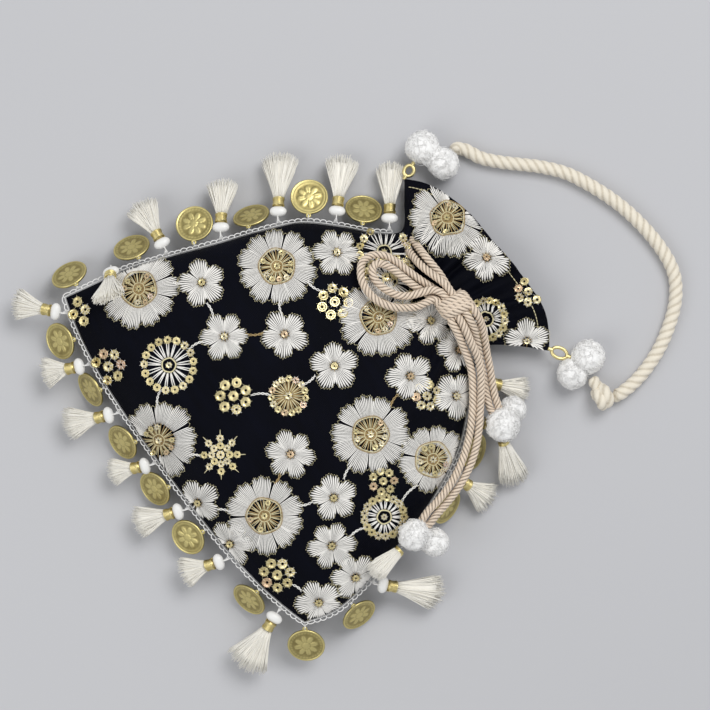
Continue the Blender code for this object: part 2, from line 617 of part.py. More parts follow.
def bar_outline(first, second):
    """A thread bar from well inside one motif to well inside another."""
    a, b = (Vector((x, y, 0.0)) for _, x, y in (first, second))
    run = (b - a).normalized()
    a += run * BAR_ROOT * MOTIF_SHAPES[first[0]][0]
    b -= run * BAR_ROOT * MOTIF_SHAPES[second[0]][0]
    side = Vector((-run.y, run.x, 0.0)) * THREAD_BAR_WIDTH / 2.0
    return [a - side, b - side, b + side, a + side]


def net_shape(outlines, grid):
    """A flat body of every outline joined into one, with corners along a grid so that it can bend."""
    corners, edges, faces = [], [], []
    for outline in outlines:
        faces.append(list(range(len(corners), len(corners) + len(outline))))
        corners += [Vector((p.x, p.y)) for p in outline]
    for k in range(-int(NET_REACH / grid), int(NET_REACH / grid) + 1):
        upright = ((k * grid, -NET_REACH), (k * grid, NET_REACH))
        level = ((-NET_REACH, k * grid), (NET_REACH, k * grid))
        for run in (upright, level):
            edges.append((len(corners), len(corners) + 1))
            corners += [Vector(end) for end in run]
    points, _, triangles, _, _, owners = delaunay_2d_cdt(corners, edges, faces, 0, 1e-5, True)
    kept = [triangle for triangle, owner in zip(triangles, owners) if owner]
    shape = bmesh.new()
    used = sorted({i for triangle in kept for i in triangle})
    verts = {i: shape.verts.new((*points[i], 0.0)) for i in used}
    for triangle in kept:
        shape.faces.new([verts[i] for i in triangle])
    lifted = bmesh.ops.extrude_face_region(shape, geom=shape.faces[:])["geom"]
    top = [g for g in lifted if isinstance(g, bmesh.types.BMVert)]
    bmesh.ops.translate(shape, vec=(0.0, 0.0, THREAD_HEIGHT), verts=top)
    return shape


def nearest_links(centres):
    """Pairs that join every motif to the net, each new one by the shortest bar."""
    inside, outside, pairs = [0], set(range(1, len(centres))), []
    while outside:
        pairs_left = ((i, j) for i in inside for j in outside)
        a, b = min(pairs_left, key=lambda pair: (centres[pair[0]] - centres[pair[1]]).length)
        pairs.append((a, b))
        inside.append(b)
        outside.remove(b)
    return pairs


def cloth_limits(y):
    """The plan's left and right edges of the front at a distance up the bag."""
    last = len(STATIONS) - 1
    sides = []
    for u in (-1.0, 1.0):
        rows = [cloth_point(u, last * k / 60.0, True) for k in range(61)]
        sides.append(min(rows, key=lambda p: abs(p.y - y)).x)
    return sides


def held_in(point, lowest):
    """Keeps a motif's point off the seams, where the cloth turns under, and above a lowest line."""
    left, right = cloth_limits(point.y)
    u = min(max(2.0 * (point.x - left) / (right - left) - 1.0, -1.0), 1.0)
    low, high = (cloth_point(u, t, True).y for t in (0.0, len(STATIONS) - 1.0))
    point.x = min(max(point.x, left + SEAM_MARGIN), right - SEAM_MARGIN)
    point.y = min(max(point.y, low + SEAM_MARGIN, lowest), high - SEAM_MARGIN)
    return point


def drape(shape, cloth):
    """Lays a flat net on the cloth: its underside just clear of the crests, its top a thread's height above."""
    down = Vector((0.0, 0.0, -1.0))

    def height(x, y):
        hit = cloth.ray_cast(Vector((x, y, 1.0)), down)
        return (hit[0].z, abs(hit[1].z)) if hit[0] else (None, 1.0)

    for vert in shape.verts:
        x, y, top = vert.co.x, vert.co.y, vert.co.z > THREAD_HEIGHT / 2.0
        z, tilt = height(x, y)
        gather = ease((y - GATHER_START) / GATHER_REACH)
        reach = THREAD_REACH * (1.0 + gather)
        crest = max(height(x + side * reach, y)[0] or z for side in CREST_SHARES)
        most = THREAD_SAG + 2.0 * PLEAT_DEPTH * gather if y < FRILL_LOWEST else FLUTE_DEPTH * 2.0
        bridge = min(crest - z, most)
        vert.co.z = z + bridge + (THREAD_LIFT + (THREAD_HEIGHT if top else 0.0)) / max(tilt, THREAD_TILT)


def build_embroidery(name, motifs, lowest, grid, cloth, finish):
    """One net of raised motifs and the bars between them, joined flat and then laid on the cloth."""
    centres = [Vector((x, y, 0.0)) for _, x, y in motifs]
    plates = [[held_in(p, lowest) for p in petal_outline(*motif)] for motif in motifs]
    plates += [bar_outline(motifs[a], motifs[b]) for a, b in nearest_links(centres)]
    shape = net_shape(plates, grid)
    drape(shape, cloth)
    return mesh_object(name, shape, finish)


def mm(point):
    return Vector(point) / 1000.0


def smooth_route(points, step):
    """Points at even spacing on the smooth curve through a route's own points."""
    last = len(points) - 1
    columns = [[p[k] for p in points] for k in range(3)]
    places = [last * i / ROUTE_STEPS for i in range(ROUTE_STEPS + 1)]
    fine = [mm([between(column, place) for column in columns]) for place in places]
    total = path_length(fine)
    count = max(2, round(total / step))
    places = [0.0, CORD_END, *(total * k / count for k in range(1, count)), total - CORD_END, total]
    return [point_along(fine, place) for place in places]


def tube(name, points, diameter, step, sides, finish):
    """A cord: a round tube with filled ends along its smooth route."""
    data = bpy.data.curves.new(name, "CURVE")
    data.dimensions = "3D"
    data.bevel_depth = diameter / 2.0
    data.bevel_resolution = sides
    data.use_fill_caps = True
    route = smooth_route(points, step)
    spline = data.splines.new("POLY")
    spline.points.add(len(route) - 1)
    for point, place in zip(spline.points, route):
        point.co = (*place, 1.0)
    return link(bpy.data.objects.new(name, data), finish)


def build_knot(finish):
    """The drawstrings' knot: a squared barrel with a groove between its turns, its axis along X."""
    centre = Vector(KNOT_CENTRE)
    long, across, high = KNOT_HALF
    bands = []
    for k in range(4 * KNOT_TURNS + 1):
        x = -long + 2.0 * long * k / (4 * KNOT_TURNS)
        crest = math.sin(math.pi * KNOT_TURNS * (x + long) / (2.0 * long)) ** 2
        swell = KNOT_GROOVE + (1.0 - KNOT_GROOVE) * crest
        band = []
        for j in range(KNOT_SIDES):
            turn = 2.0 * math.pi * (j + 0.5) / KNOT_SIDES
            c, s = math.cos(turn), math.sin(turn)
            reach = (abs(c) ** KNOT_SQUARENESS + abs(s) ** KNOT_SQUARENESS) ** (-1.0 / KNOT_SQUARENESS)
            band.append(centre + Vector((x, swell * across * reach * c, swell * high * reach * s)))
        bands.append(band)
    left, right = (centre + Vector((side * long, 0.0, 0.0)) for side in (-1.0, 1.0))
    mesh_object("drawstring_knot", loft([left, *bands, right]), finish)


def ball(centre, size):
    """A rounded helper body for joining: one radius, or three half sizes."""
    rings, segments = POMPOM_RINGS
    bpy.ops.mesh.primitive_uv_sphere_add(segments=segments, ring_count=rings, radius=1.0, location=centre)
    made = bpy.context.active_object
    made.scale = size
    return made


def joined(name, first, second, finish):
    """One body of two helpers, named and given its finish."""
    join = first.modifiers.new("join", "BOOLEAN")
    join.operation = "UNION"
    join.object = second
    join.solver = "EXACT"
    bpy.context.view_layer.update()
    graph = bpy.context.evaluated_depsgraph_get()
    data = bpy.data.meshes.new_from_object(first.evaluated_get(graph))
    data.name = name
    data.transform(first.matrix_world)
    data.materials.clear()
    data.shade_smooth()
    for helper in (first, second):
        bpy.data.objects.remove(helper, do_unlink=True)
    return link(bpy.data.objects.new(name, data), finish)


def build_pompoms(finish):
    for name, (first, first_radius), (second, second_radius) in POMPOMS:
        a = ball(mm(first), Vector((first_radius,) * 3) / 1000.0)
        b = ball(mm(second), Vector((second_radius,) * 3) / 1000.0)
        b.rotation_euler = (0.4, 0.3, 0.2)
        joined(name, a, b, finish)


def cord_tassel_body(length, half_width):
    """Gold wrap and spread skirt of a tassel at a drawstring's end, along local +X."""
    wrap = CORD_TASSEL_WRAP
    start, start_size = CORD_TASSEL_START
    spread, spread_width, spread_wrap = CORD_TASSEL_SPREAD
    return loft(
        [
            Vector((start, 0.0, 0.0)),
            oval(start, start_size * wrap, start_size * wrap),
            *(oval(place * wrap, wrap, CORD_TASSEL_FLAT * wrap) for place in CORD_TASSEL_BOUND),
            oval(spread * length, spread_width * half_width + spread_wrap * wrap, SKIRT_THICKNESS),
            *(
                oval(place * length, width * half_width, thick * SKIRT_THICKNESS)
                for place, width, thick in CORD_TASSEL_HEM
            ),
            Vector((length, 0.0, 0.0)),
        ]
    )


def build_cord_tassels(finish):
    for name, start, end, half_width, roll in CORD_TASSELS:
        a, b = mm(start), mm(end)
        made = mesh_object(name, cord_tassel_body((b - a).length, half_width / 1000.0), finish)
        along = (b - a).normalized()
        across = Vector((0.0, 0.0, 1.0)).cross(along).normalized()
        basis = Matrix((along, across, along.cross(across))).transposed().to_4x4()
        made.matrix_world = Matrix.Translation(a) @ basis @ Matrix.Rotation(math.radians(roll), 4, "X")


def build_handle(rope_finish, gold):
    """The rope, its knot with the stub to the pompoms, and the gold loops at the frill's corners."""
    tube("handle_rope", ROPE, ROPE_DIAMETER, ROPE_STEP, 3, rope_finish)
    centre = Vector(ROPE_KNOT_CENTRE)
    reach = Vector(ROPE_STUB)
    bpy.ops.mesh.primitive_cylinder_add(
        vertices=12, radius=0.45 * ROPE_DIAMETER, depth=reach.length, location=centre + reach / 2.0,
        rotation=reach.to_track_quat("Z", "Y").to_euler(),
    )
    stub = bpy.context.active_object
    joined("rope_knot", ball(centre, ROPE_KNOT_HALF), stub, rope_finish)
    for name, start, end, half_width in HANDLE_LOOPS:
        a, b = mm(start), mm(end)
        shape = bmesh.new()
        along = (b - a).normalized()
        across = Vector((0.0, 0.0, 1.0)).cross(along).normalized()
        up = along.cross(across)
        centre, half_length, rings = (a + b) / 2.0, (b - a).length / 2.0, []
        for k in range(LOOP_STEPS):
            turn = 2.0 * math.pi * k / LOOP_STEPS
            radial = along * math.cos(turn) + across * math.sin(turn)
            middle = centre + along * half_length * math.cos(turn) + across * half_width * math.sin(turn)
            around = [2.0 * math.pi * j / LOOP_SIDES for j in range(LOOP_SIDES)]
            ring = [middle + LOOP_WIRE * (radial * math.cos(t) + up * math.sin(t)) for t in around]
            rings.append([shape.verts.new(point) for point in ring])
        for low, high in zip(rings, rings[1:] + rings[:1]):
            for j in range(LOOP_SIDES):
                n = (j + 1) % LOOP_SIDES
                shape.faces.new((low[j], low[n], high[n], high[j]))
        mesh_object(name, shape, gold)


def build_lace(path, finish):
    """The picot edging: a narrow braid just outside the seam, with small points along its outer edge."""
    total = path_length(path)
    count = int(total / LACE_PITCH)
    shape = bmesh.new()
    rows = []
    for k in range(count + 1):
        point, outward = seam_frame(path, total * k / count)
        width = LACE_WIDTH + (LACE_PICOT if k % 2 else 0.0)
        near = point + outward * LACE_OFFSET
        far = near + outward * width
        up = Vector((0.0, 0.0, LACE_THICKNESS / 2.0))
        rows.append([shape.verts.new(p) for p in (near - up, far - up, far + up, near + up)])
    for low, high in zip(rows, rows[1:]):
        for k in range(4):
            n = (k + 1) % 4
            shape.faces.new((low[k], low[n], high[n], high[k]))
    shape.faces.new(rows[0][::-1])
    shape.faces.new(rows[-1])
    return mesh_object("edge_lace", shape, finish)


def build_pendants(path, gold, cotton):
    """Every coin and tassel along the seam, each with its pivot as the object's origin."""
    coin = coin_body()
    for name, distance, slant, rise, _, _ in COINS:
        made = bpy.data.objects.new(f"coin_{name}", coin)
        made.matrix_world = pendant_matrix(path, distance, slant, rise)
        link(made, gold)
    for name, distance, slant, rise, skirt, half_width, _, _ in TASSELS:
        made = mesh_object(f"tassel_{name}", tassel_body(skirt, half_width), cotton)
        made.matrix_world = pendant_matrix(path, distance, slant, rise)


def main():
    clear_scene()
    collection(PARTS_COLLECTION)
    collection(CUTTERS_COLLECTION)
    silk = material("navy_silk", (0.012, 0.014, 0.03), 0.75)
    thread = material("ivory_thread", (0.86, 0.84, 0.78), 0.6)
    lace = material("white_lace", (0.85, 0.84, 0.8), 0.8)
    gold = material("antique_gold", (0.62, 0.47, 0.14), 0.35, 1.0)
    cord = material("champagne_cord", (0.66, 0.53, 0.42), 0.6)
    wool = material("white_wool", (0.92, 0.92, 0.92), 0.95)
    rope = material("natural_rope", (0.86, 0.79, 0.65), 0.85)
    cotton = material("cream_cotton", (0.88, 0.85, 0.76), 0.85)
    pouch = build_pouch(silk)
    cut_slots(pouch)
    bpy.context.view_layer.update()
    cloth = BVHTree.FromObject(pouch, bpy.context.evaluated_depsgraph_get())
    build_embroidery("embroidery_front", FRONT_MOTIFS, -NET_REACH, THREAD_GRID, cloth, thread)
    build_embroidery("embroidery_frill", FRILL_MOTIFS, FRILL_LOWEST, FRILL_GRID, cloth, thread)
    path = seam_path()
    build_lace(path, lace)
    build_pendants(path, gold, cotton)
    build_knot(cord)
    for name, points in (
        ("drawcord_1", DRAWCORD_1), ("drawcord_2", DRAWCORD_2), ("bow_loop_outer", LOOP_OUTER),
        ("bow_loop_inner", LOOP_INNER), ("tail_1a", TAIL_1A), ("tail_1b", TAIL_1B), ("tail_2a", TAIL_2A),
        ("tail_2b", TAIL_2B),
    ):
        tube(name, points, CORD_DIAMETER, CORD_STEP, 2, cord)
    build_pompoms(wool)
    build_cord_tassels(cotton)
    build_handle(rope, gold)


main()
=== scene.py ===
"""Looks of the potli bag: its cloth, embroidery, trim, cords and light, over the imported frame.

Metres, +Z up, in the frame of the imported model: +Y runs from the bag's base to its mouth and +X along
the base, with the embroidered front facing up.
"""

from __future__ import annotations

import json
import logging
import math
from abc import ABC, abstractmethod
from dataclasses import dataclass, field, replace
from enum import Enum
from typing import Iterable, Sequence

import bmesh
import bpy
import numpy as np
from mathutils import Matrix, Vector, noise
from mathutils.bvhtree import BVHTree

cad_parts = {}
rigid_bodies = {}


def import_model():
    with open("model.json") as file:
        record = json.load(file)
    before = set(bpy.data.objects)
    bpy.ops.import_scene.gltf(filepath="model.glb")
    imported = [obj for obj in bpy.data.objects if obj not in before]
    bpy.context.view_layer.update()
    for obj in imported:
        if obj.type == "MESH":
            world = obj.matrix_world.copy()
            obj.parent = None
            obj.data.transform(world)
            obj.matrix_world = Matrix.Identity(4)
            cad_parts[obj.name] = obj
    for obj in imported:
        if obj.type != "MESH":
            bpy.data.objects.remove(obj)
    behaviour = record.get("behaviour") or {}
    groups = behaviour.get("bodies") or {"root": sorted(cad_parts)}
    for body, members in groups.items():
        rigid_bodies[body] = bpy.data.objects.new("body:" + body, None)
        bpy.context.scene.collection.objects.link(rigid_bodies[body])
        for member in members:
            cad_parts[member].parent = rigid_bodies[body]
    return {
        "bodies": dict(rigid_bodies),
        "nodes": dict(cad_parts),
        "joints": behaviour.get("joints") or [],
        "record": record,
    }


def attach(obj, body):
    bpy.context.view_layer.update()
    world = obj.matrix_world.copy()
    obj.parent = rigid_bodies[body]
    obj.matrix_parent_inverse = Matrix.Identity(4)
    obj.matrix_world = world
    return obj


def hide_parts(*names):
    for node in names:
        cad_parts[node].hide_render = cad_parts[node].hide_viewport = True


log = logging.getLogger("potli_bag")

Triple = tuple[float, float, float]
Pair = tuple[float, float]
Colour = Triple
Socket = bpy.types.NodeSocket
Values = np.ndarray | float
UP = np.array((0.0, 0.0, 1.0))
ROOT_BODY = "pouch_body"


class Slot(Enum):
    """The record's material slots."""

    SILK = "navy_silk"
    THREAD = "ivory_thread"
    LACE = "white_lace"
    GOLD = "antique_gold"
    CORD = "champagne_cord"
    WOOL = "white_wool"
    ROPE = "natural_rope"
    COTTON = "cream_cotton"


class Zone(Enum):
    """The two embroidered fields of the bag, named by the node that each one replaces."""

    FRONT = "embroidery_front"
    FRILL = "embroidery_frill"


class Kind(Enum):
    """The embroidered motifs."""

    DAISY = "daisy"
    FLOWER = "flower"
    ROSETTE = "rosette"
    WHEEL = "wheel"
    MEDALLION = "medallion"
    STAR = "star"


def unit(vectors: np.ndarray) -> np.ndarray:
    """Scale vectors to length one along their last axis."""
    return vectors / np.maximum(np.linalg.norm(vectors, axis=-1, keepdims=True), 1e-12)


def ease(x: float) -> float:
    """Rise smoothly from 0 at x = 0 to 1 at x = 1."""
    x = min(max(x, 0.0), 1.0)
    return x * x * (3.0 - 2.0 * x)


def through(values: np.ndarray, t: np.ndarray) -> np.ndarray:
    """Read a smooth curve through a list's entries.

    Args:
        values: The entries, one row each.
        t: Places along the list, counted in entries.

    Returns:
        One row for each place, by Catmull-Rom.
    """
    last = len(values) - 1
    i = np.minimum(t.astype(int), last - 1)
    f = (t - i)[:, None]
    a, b = values[np.maximum(i - 1, 0)], values[i]
    c, d = values[i + 1], values[np.minimum(i + 2, last)]
    return 0.5 * (2 * b + (c - a) * f + (2 * a - 5 * b + 4 * c - d) * f**2 + (3 * b - a - 3 * c + d) * f**3)


def distances(line: np.ndarray) -> np.ndarray:
    """Give the distance along a line to each of its points."""
    return np.concatenate([[0.0], np.cumsum(np.linalg.norm(np.diff(line, axis=0), axis=1))])


def read_line(line: np.ndarray, reach: np.ndarray, places: np.ndarray) -> np.ndarray:
    """Read a line at distances along it.

    Args:
        line: Its points, one row each.
        reach: The distance along it to each of its points.
        places: The distances to read it at.

    Returns:
        One point for each distance.
    """
    return np.stack([np.interp(places, reach, line[:, k]) for k in range(3)], -1)


def spaced(count: int) -> np.ndarray:
    """Give directions spaced evenly round a full turn."""
    return math.tau * np.arange(count) / count


def pair_axes(start: Triple, end: Triple) -> tuple[Vector, Vector, Vector, Vector]:
    """Give two places, the direction from one to the other, and the level one across it."""
    a, b = Vector(start), Vector(end)
    along = (b - a).normalized()
    return a, b, along, Vector((0.0, 0.0, 1.0)).cross(along).normalized()


def turned_to(along: Vector, across: Vector) -> Matrix:
    """Give the turn that puts X along one direction and Y across it."""
    return Matrix((along, across, along.cross(across))).transposed().to_4x4()


class Bench:
    """Collects the corners and faces of one piece, then makes it a mesh."""

    def __init__(self) -> None:
        """Start with an empty bench."""
        self.corners: list[np.ndarray] = []
        self.shades: list[np.ndarray] = []
        self.faces: list[list[int]] = []
        self.total = 0

    def add(self, corners: np.ndarray, faces: Sequence[Sequence[int]], shade: Values = 0.5) -> None:
        """Lay one more body on the bench.

        Args:
            corners: Its corners, one row each.
            faces: Its faces, by corner.
            shade: A value from 0 to 1 for each corner, which the finish may use.
        """
        corners = np.asarray(corners, float).reshape(-1, 3)
        self.corners.append(corners)
        self.shades.append(np.array(np.broadcast_to(shade, (len(corners),)), float))
        self.faces.extend([[i + self.total for i in face] for face in faces])
        self.total += len(corners)

    def strands(
        self,
        middles: np.ndarray,
        wide: Values,
        high: Values,
        up: np.ndarray,
        sides: int = 4,
        shade: Values = 0.5,
    ) -> None:
        """Lay many closed strands of oval section.

        Args:
            middles: Middle lines, as strand by ring by coordinate.
            wide: Half widths across, as strand by ring, or one for all.
            high: Half heights, in the same way.
            up: The direction of height, in a shape that fits the middle lines.
            sides: Corners round a strand.
            shade: One value for each strand, or for all.
        """
        count, rings, _ = middles.shape
        run = unit(np.gradient(middles, axis=1))
        across = unit(np.cross(run, np.broadcast_to(up, middles.shape)))
        lift = np.cross(across, run)
        turn = math.tau * (np.arange(sides) + 0.5) / sides
        half_width = np.broadcast_to(wide, (count, rings))[..., None, None]
        half_height = np.broadcast_to(high, (count, rings))[..., None, None]
        ring = (
            middles[:, :, None]
            + across[:, :, None] * (half_width * np.cos(turn)[:, None])
            + lift[:, :, None] * (half_height * np.sin(turn)[:, None])
        )
        k = np.arange(sides)
        n = (k + 1) % sides
        base = (np.arange(rings - 1) * sides)[:, None]
        quads = np.stack([base + k, base + sides + k, base + sides + n, base + n], -1).reshape(-1, 4)
        start = (np.arange(count) * rings * sides)[:, None, None]
        faces = (quads[None] + start).reshape(-1, 4).tolist()
        faces += (k[None] + start[:, 0]).tolist()
        faces += ((rings - 1) * sides + k[::-1][None] + start[:, 0]).tolist()
        shades = np.repeat(np.broadcast_to(shade, (count,)), rings * sides)
        self.add(ring, faces, shades)

    def thread(
        self, line: np.ndarray, size: Values, up: np.ndarray, sides: int, shade: float
    ) -> None:
        """Lay one round thread along a line, of half thickness `size`."""
        self.strands(line[None], size, size, up, sides, shade)

    def rows(self, grid: np.ndarray, shade: Values = 0.5, ends: bool = True) -> None:
        """Lay a skin through closed rings of equal count.

        Args:
            grid: Corners, as ring by place round it by coordinate.
            shade: A value for each corner, or for all.
            ends: Whether the first and last ring are filled.
        """
        rings, sides, _ = grid.shape
        k = np.arange(sides)
        n = (k + 1) % sides
        base = (np.arange(rings - 1) * sides)[:, None]
        quads = np.stack([base + k, base + n, base + sides + n, base + sides + k], -1)
        faces = quads.reshape(-1, 4).tolist()
        if ends:
            faces.append(list(range(sides))[::-1])
            faces.append([(rings - 1) * sides + i for i in range(sides)])
        self.add(grid, faces, shade if np.isscalar(shade) else np.ravel(shade))

    def piece(self, name: str, place: Matrix | None = None) -> bpy.types.Object:
        """Make the collected bodies one object.

        Args:
            name: The object's name.
            place: Where its own coordinates lie in the bag's frame.

        Returns:
            The object, linked to the scene.
        """
        data = bpy.data.meshes.new(name)
        corners = np.concatenate(self.corners)
        if place is not None:
            turn = np.array(place)
            corners = corners @ turn[:3, :3].T + turn[:3, 3]
        data.from_pydata(corners.tolist(), [], self.faces)
        shades = data.attributes.new("shade", "FLOAT", "POINT")
        shades.data.foreach_set("value", np.concatenate(self.shades))
        data.shade_smooth()
        made = bpy.data.objects.new(name, data)
        bpy.context.scene.collection.objects.link(made)
        return made


class Recipe:
    """Lays out the nodes of one material."""

    def __init__(self, name: str) -> None:
        """Start a material with its shader and the place on the object's own coordinates."""
        self.material = bpy.data.materials.new(name)
        self.material.use_nodes = True
        self.tree = self.material.node_tree
        self.shader = self.tree.nodes["Principled BSDF"]
        self.where = self.tree.nodes.new("ShaderNodeTexCoord").outputs["Object"]

    def node(self, kind: str, **settings: object) -> bpy.types.Node:
        """Add a node and set its properties."""
        made = self.tree.nodes.new(kind)
        for key, value in settings.items():
            setattr(made, key, value)
        return made

    def join(self, source: Socket, target: Socket) -> None:
        """Run a wire from one socket to another."""
        self.tree.links.new(source, target)

    def grain(self, scale: float, detail: float = 3.0, stretch: Triple = (1.0, 1.0, 1.0)) -> Socket:
        """Add fine cloudy variation.

        Args:
            scale: Clouds for each metre.
            detail: How many finer layers it has.
            stretch: How much denser it is along each axis.

        Returns:
            The socket that carries it, from 0 to 1.
        """
        mapping = self.node("ShaderNodeMapping")
        mapping.inputs["Scale"].default_value = stretch
        self.join(self.where, mapping.inputs["Vector"])
        made = self.node("ShaderNodeTexNoise")
        made.inputs["Scale"].default_value = scale
        made.inputs["Detail"].default_value = detail
        self.join(mapping.outputs["Vector"], made.inputs["Vector"])
        return made.outputs["Fac"]

    def weave(self, pitch: float, axis: str, bend: float = 1.0) -> Socket:
        """Add parallel threads.

        Args:
            pitch: The distance from thread to thread.
            axis: The axis that they are spaced along.
            bend: How much they wander.

        Returns:
            The socket that carries them, from 0 to 1.
        """
        made = self.node("ShaderNodeTexWave", wave_type="BANDS", bands_direction=axis, wave_profile="SIN")
        made.inputs["Scale"].default_value = 1.0 / (pitch * 3.2)
        made.inputs["Distortion"].default_value = bend
        made.inputs["Detail Scale"].default_value = 2.0
        self.join(self.where, made.inputs["Vector"])
        return made.outputs["Fac"]

    def shade(self) -> Socket:
        """Read the value that each corner of the mesh carries."""
        return self.node("ShaderNodeAttribute", attribute_name="shade").outputs["Fac"]

    def times(self, first: Socket, second: Socket | float) -> Socket:
        """Multiply two values."""
        return self.sum(first, second, "MULTIPLY")

    def sum(
        self, first: Socket, second: Socket | float, operation: str = "ADD"
    ) -> Socket:
        """Combine two values.

        Args:
            first: One value.
            second: The other, or a fixed number.
            operation: What is done with them.

        Returns:
            The socket with the result.
        """
        made = self.node("ShaderNodeMath", operation=operation)
        self.join(first, made.inputs[0])
        if isinstance(second, (int, float)):
            made.inputs[1].default_value = second
        else:
            self.join(second, made.inputs[1])
        return made.outputs[0]

    def colours(self, value: Socket, stops: Iterable[tuple[float, Colour]]) -> None:
        """Colour the surface by a value.

        Args:
            value: What picks the colour.
            stops: Places from 0 to 1 with their colours.
        """
        ramp = self.node("ShaderNodeValToRGB")
        marks = ramp.color_ramp.elements
        stops = list(stops)
        while len(marks) < len(stops):
            marks.new(0.5)
        for mark, (place, colour) in zip(marks, stops):
            mark.position = place
            mark.color = (*colour, 1.0)
        self.join(value, ramp.inputs["Fac"])
        self.join(ramp.outputs["Color"], self.shader.inputs["Base Color"])

    def relief(self, height: Socket, depth: float, strength: float = 1.0) -> None:
        """Roughen the surface.

        Args:
            height: What raises it, from 0 to 1.
            depth: How far, in metres.
            strength: The share of the slope that is kept.
        """
        bump = self.node("ShaderNodeBump")
        bump.inputs["Strength"].default_value = strength
        bump.inputs["Distance"].default_value = depth
        self.join(height, bump.inputs["Height"])
        self.join(bump.outputs["Normal"], self.shader.inputs["Normal"])

    def gloss(self, value: Socket, low: float, high: float) -> None:
        """Vary the roughness between two ends with a value."""
        span = self.node("ShaderNodeMapRange")
        span.inputs["To Min"].default_value = low
        span.inputs["To Max"].default_value = high
        self.join(value, span.inputs["Value"])
        self.join(span.outputs["Result"], self.shader.inputs["Roughness"])

    def set(self, **values: object) -> None:
        """Set the shader's own sockets, with _ for a space in their names."""
        for key, value in values.items():
            self.shader.inputs[key.replace("_", " ")].default_value = value


class Finish(ABC):
    """A finish that a piece may be given."""

    name: str

    @abstractmethod
    def mix(self, recipe: Recipe) -> None:
        """Lay out the material's nodes."""

    def make(self) -> bpy.types.Material:
        """Make the material."""
        recipe = Recipe(self.name)
        self.mix(recipe)
        return recipe.material


@dataclass(frozen=True)
class SlubSilk(Finish):
    """Near-black navy silk with uneven threads both ways."""

    name: str = "navy_slub_silk"
    dark: Colour = (0.0008, 0.0010, 0.0028)
    light: Colour = (0.0026, 0.0032, 0.0080)

    def mix(self, recipe: Recipe) -> None:
        """Lay out the material's nodes."""
        slubs = recipe.grain(260.0, 4.0, (0.12, 1.0, 1.0))
        cloud = recipe.grain(34.0, 3.0)
        recipe.colours(recipe.times(recipe.sum(slubs, cloud), 0.5), ((0.3, self.dark), (0.7, self.light)))
        threads = recipe.sum(recipe.weave(0.0007, "Y", 2.0), recipe.weave(0.0007, "X", 1.5))
        recipe.relief(recipe.sum(threads, recipe.times(slubs, 2.5)), 0.00012, 0.6)
        recipe.gloss(slubs, 0.5, 0.75)
        recipe.set(Sheen_Weight=0.007, Sheen_Roughness=0.4, Specular_IOR_Level=0.06)


@dataclass(frozen=True)
class SatinThread(Finish):
    """Glossy embroidery, lace or cord thread, with painted shade in a cord's hollows."""

    name: str
    deep: Colour
    light: Colour
    roughness: Pair = (0.38, 0.6)
    sheen: float = 0.15
    grain_scale: float = 900.0

    def mix(self, recipe: Recipe) -> None:
        """Lay out the material's nodes."""
        fibres = recipe.grain(self.grain_scale, 3.0)
        # The shade value is painted shade in a cord's grooves and a knot's core, and a random tone on
        # stitches, lace and beads.
        tone = recipe.sum(recipe.times(recipe.shade(), 0.7), recipe.times(fibres, 0.3))
        recipe.colours(tone, ((0.12, self.deep), (0.55, self.light), (1.0, self.light)))
        recipe.relief(fibres, 0.00008, 0.7)
        recipe.gloss(fibres, *self.roughness)
        recipe.set(Sheen_Weight=self.sheen, Sheen_Roughness=0.5)


@dataclass(frozen=True)
class StampedMetal(Finish):
    """Plated metal, brighter where it is rubbed and dull in its hollows."""

    name: str
    deep: Colour
    bright: Colour
    roughness: Pair = (0.25, 0.45)

    def mix(self, recipe: Recipe) -> None:
        """Lay out the material's nodes."""
        wear = recipe.grain(420.0, 4.0)
        # The shade value is stamped relief on coins and a random tone on sequins, and painted shade on the
        # cores under gold wraps.
        tone = recipe.sum(recipe.times(recipe.shade(), 0.75), recipe.times(wear, 0.35))
        recipe.colours(tone, ((0.15, self.deep), (0.7, self.bright)))
        recipe.relief(recipe.grain(1500.0, 2.0), 0.00005, 0.5)
        recipe.gloss(wear, *self.roughness)
        recipe.set(Metallic=1.0)


@dataclass(frozen=True)
class Fibre(Finish):
    """Soft matt fibre: wool, cotton strands or rope."""

    name: str
    deep: Colour
    light: Colour
    grain_scale: float = 700.0
    depth: float = 0.0002

    def mix(self, recipe: Recipe) -> None:
        """Lay out the material's nodes."""
        fluff = recipe.grain(self.grain_scale, 4.0)
        # The shade value is painted shade in the rope's grooves, and a random tone on wool and cotton
        # strands.
        tone = recipe.sum(recipe.times(recipe.shade(), 0.65), recipe.times(fluff, 0.35))
        recipe.colours(tone, ((0.1, self.deep), (0.6, self.light)))
        recipe.relief(fluff, self.depth, 0.8)
        recipe.gloss(fluff, 0.72, 0.95)
        recipe.set(Sheen_Weight=0.25, Sheen_Roughness=0.6)


@dataclass(frozen=True)
class Backdrop(Finish):
    """The plain paper that the bag lies on."""

    name: str = "plain_backdrop"
    dark: Colour = (0.535, 0.535, 0.552)
    light: Colour = (0.565, 0.565, 0.582)

    def mix(self, recipe: Recipe) -> None:
        """Lay out the material's nodes."""
        # A broad, faint cloud of painted light and shade across the paper.
        recipe.colours(recipe.grain(1.3, 1.0), ((0.3, self.dark), (0.7, self.light)))
        recipe.relief(recipe.grain(900.0, 2.0), 0.00002, 0.3)
        recipe.set(Roughness=0.85, Specular_IOR_Level=0.2)


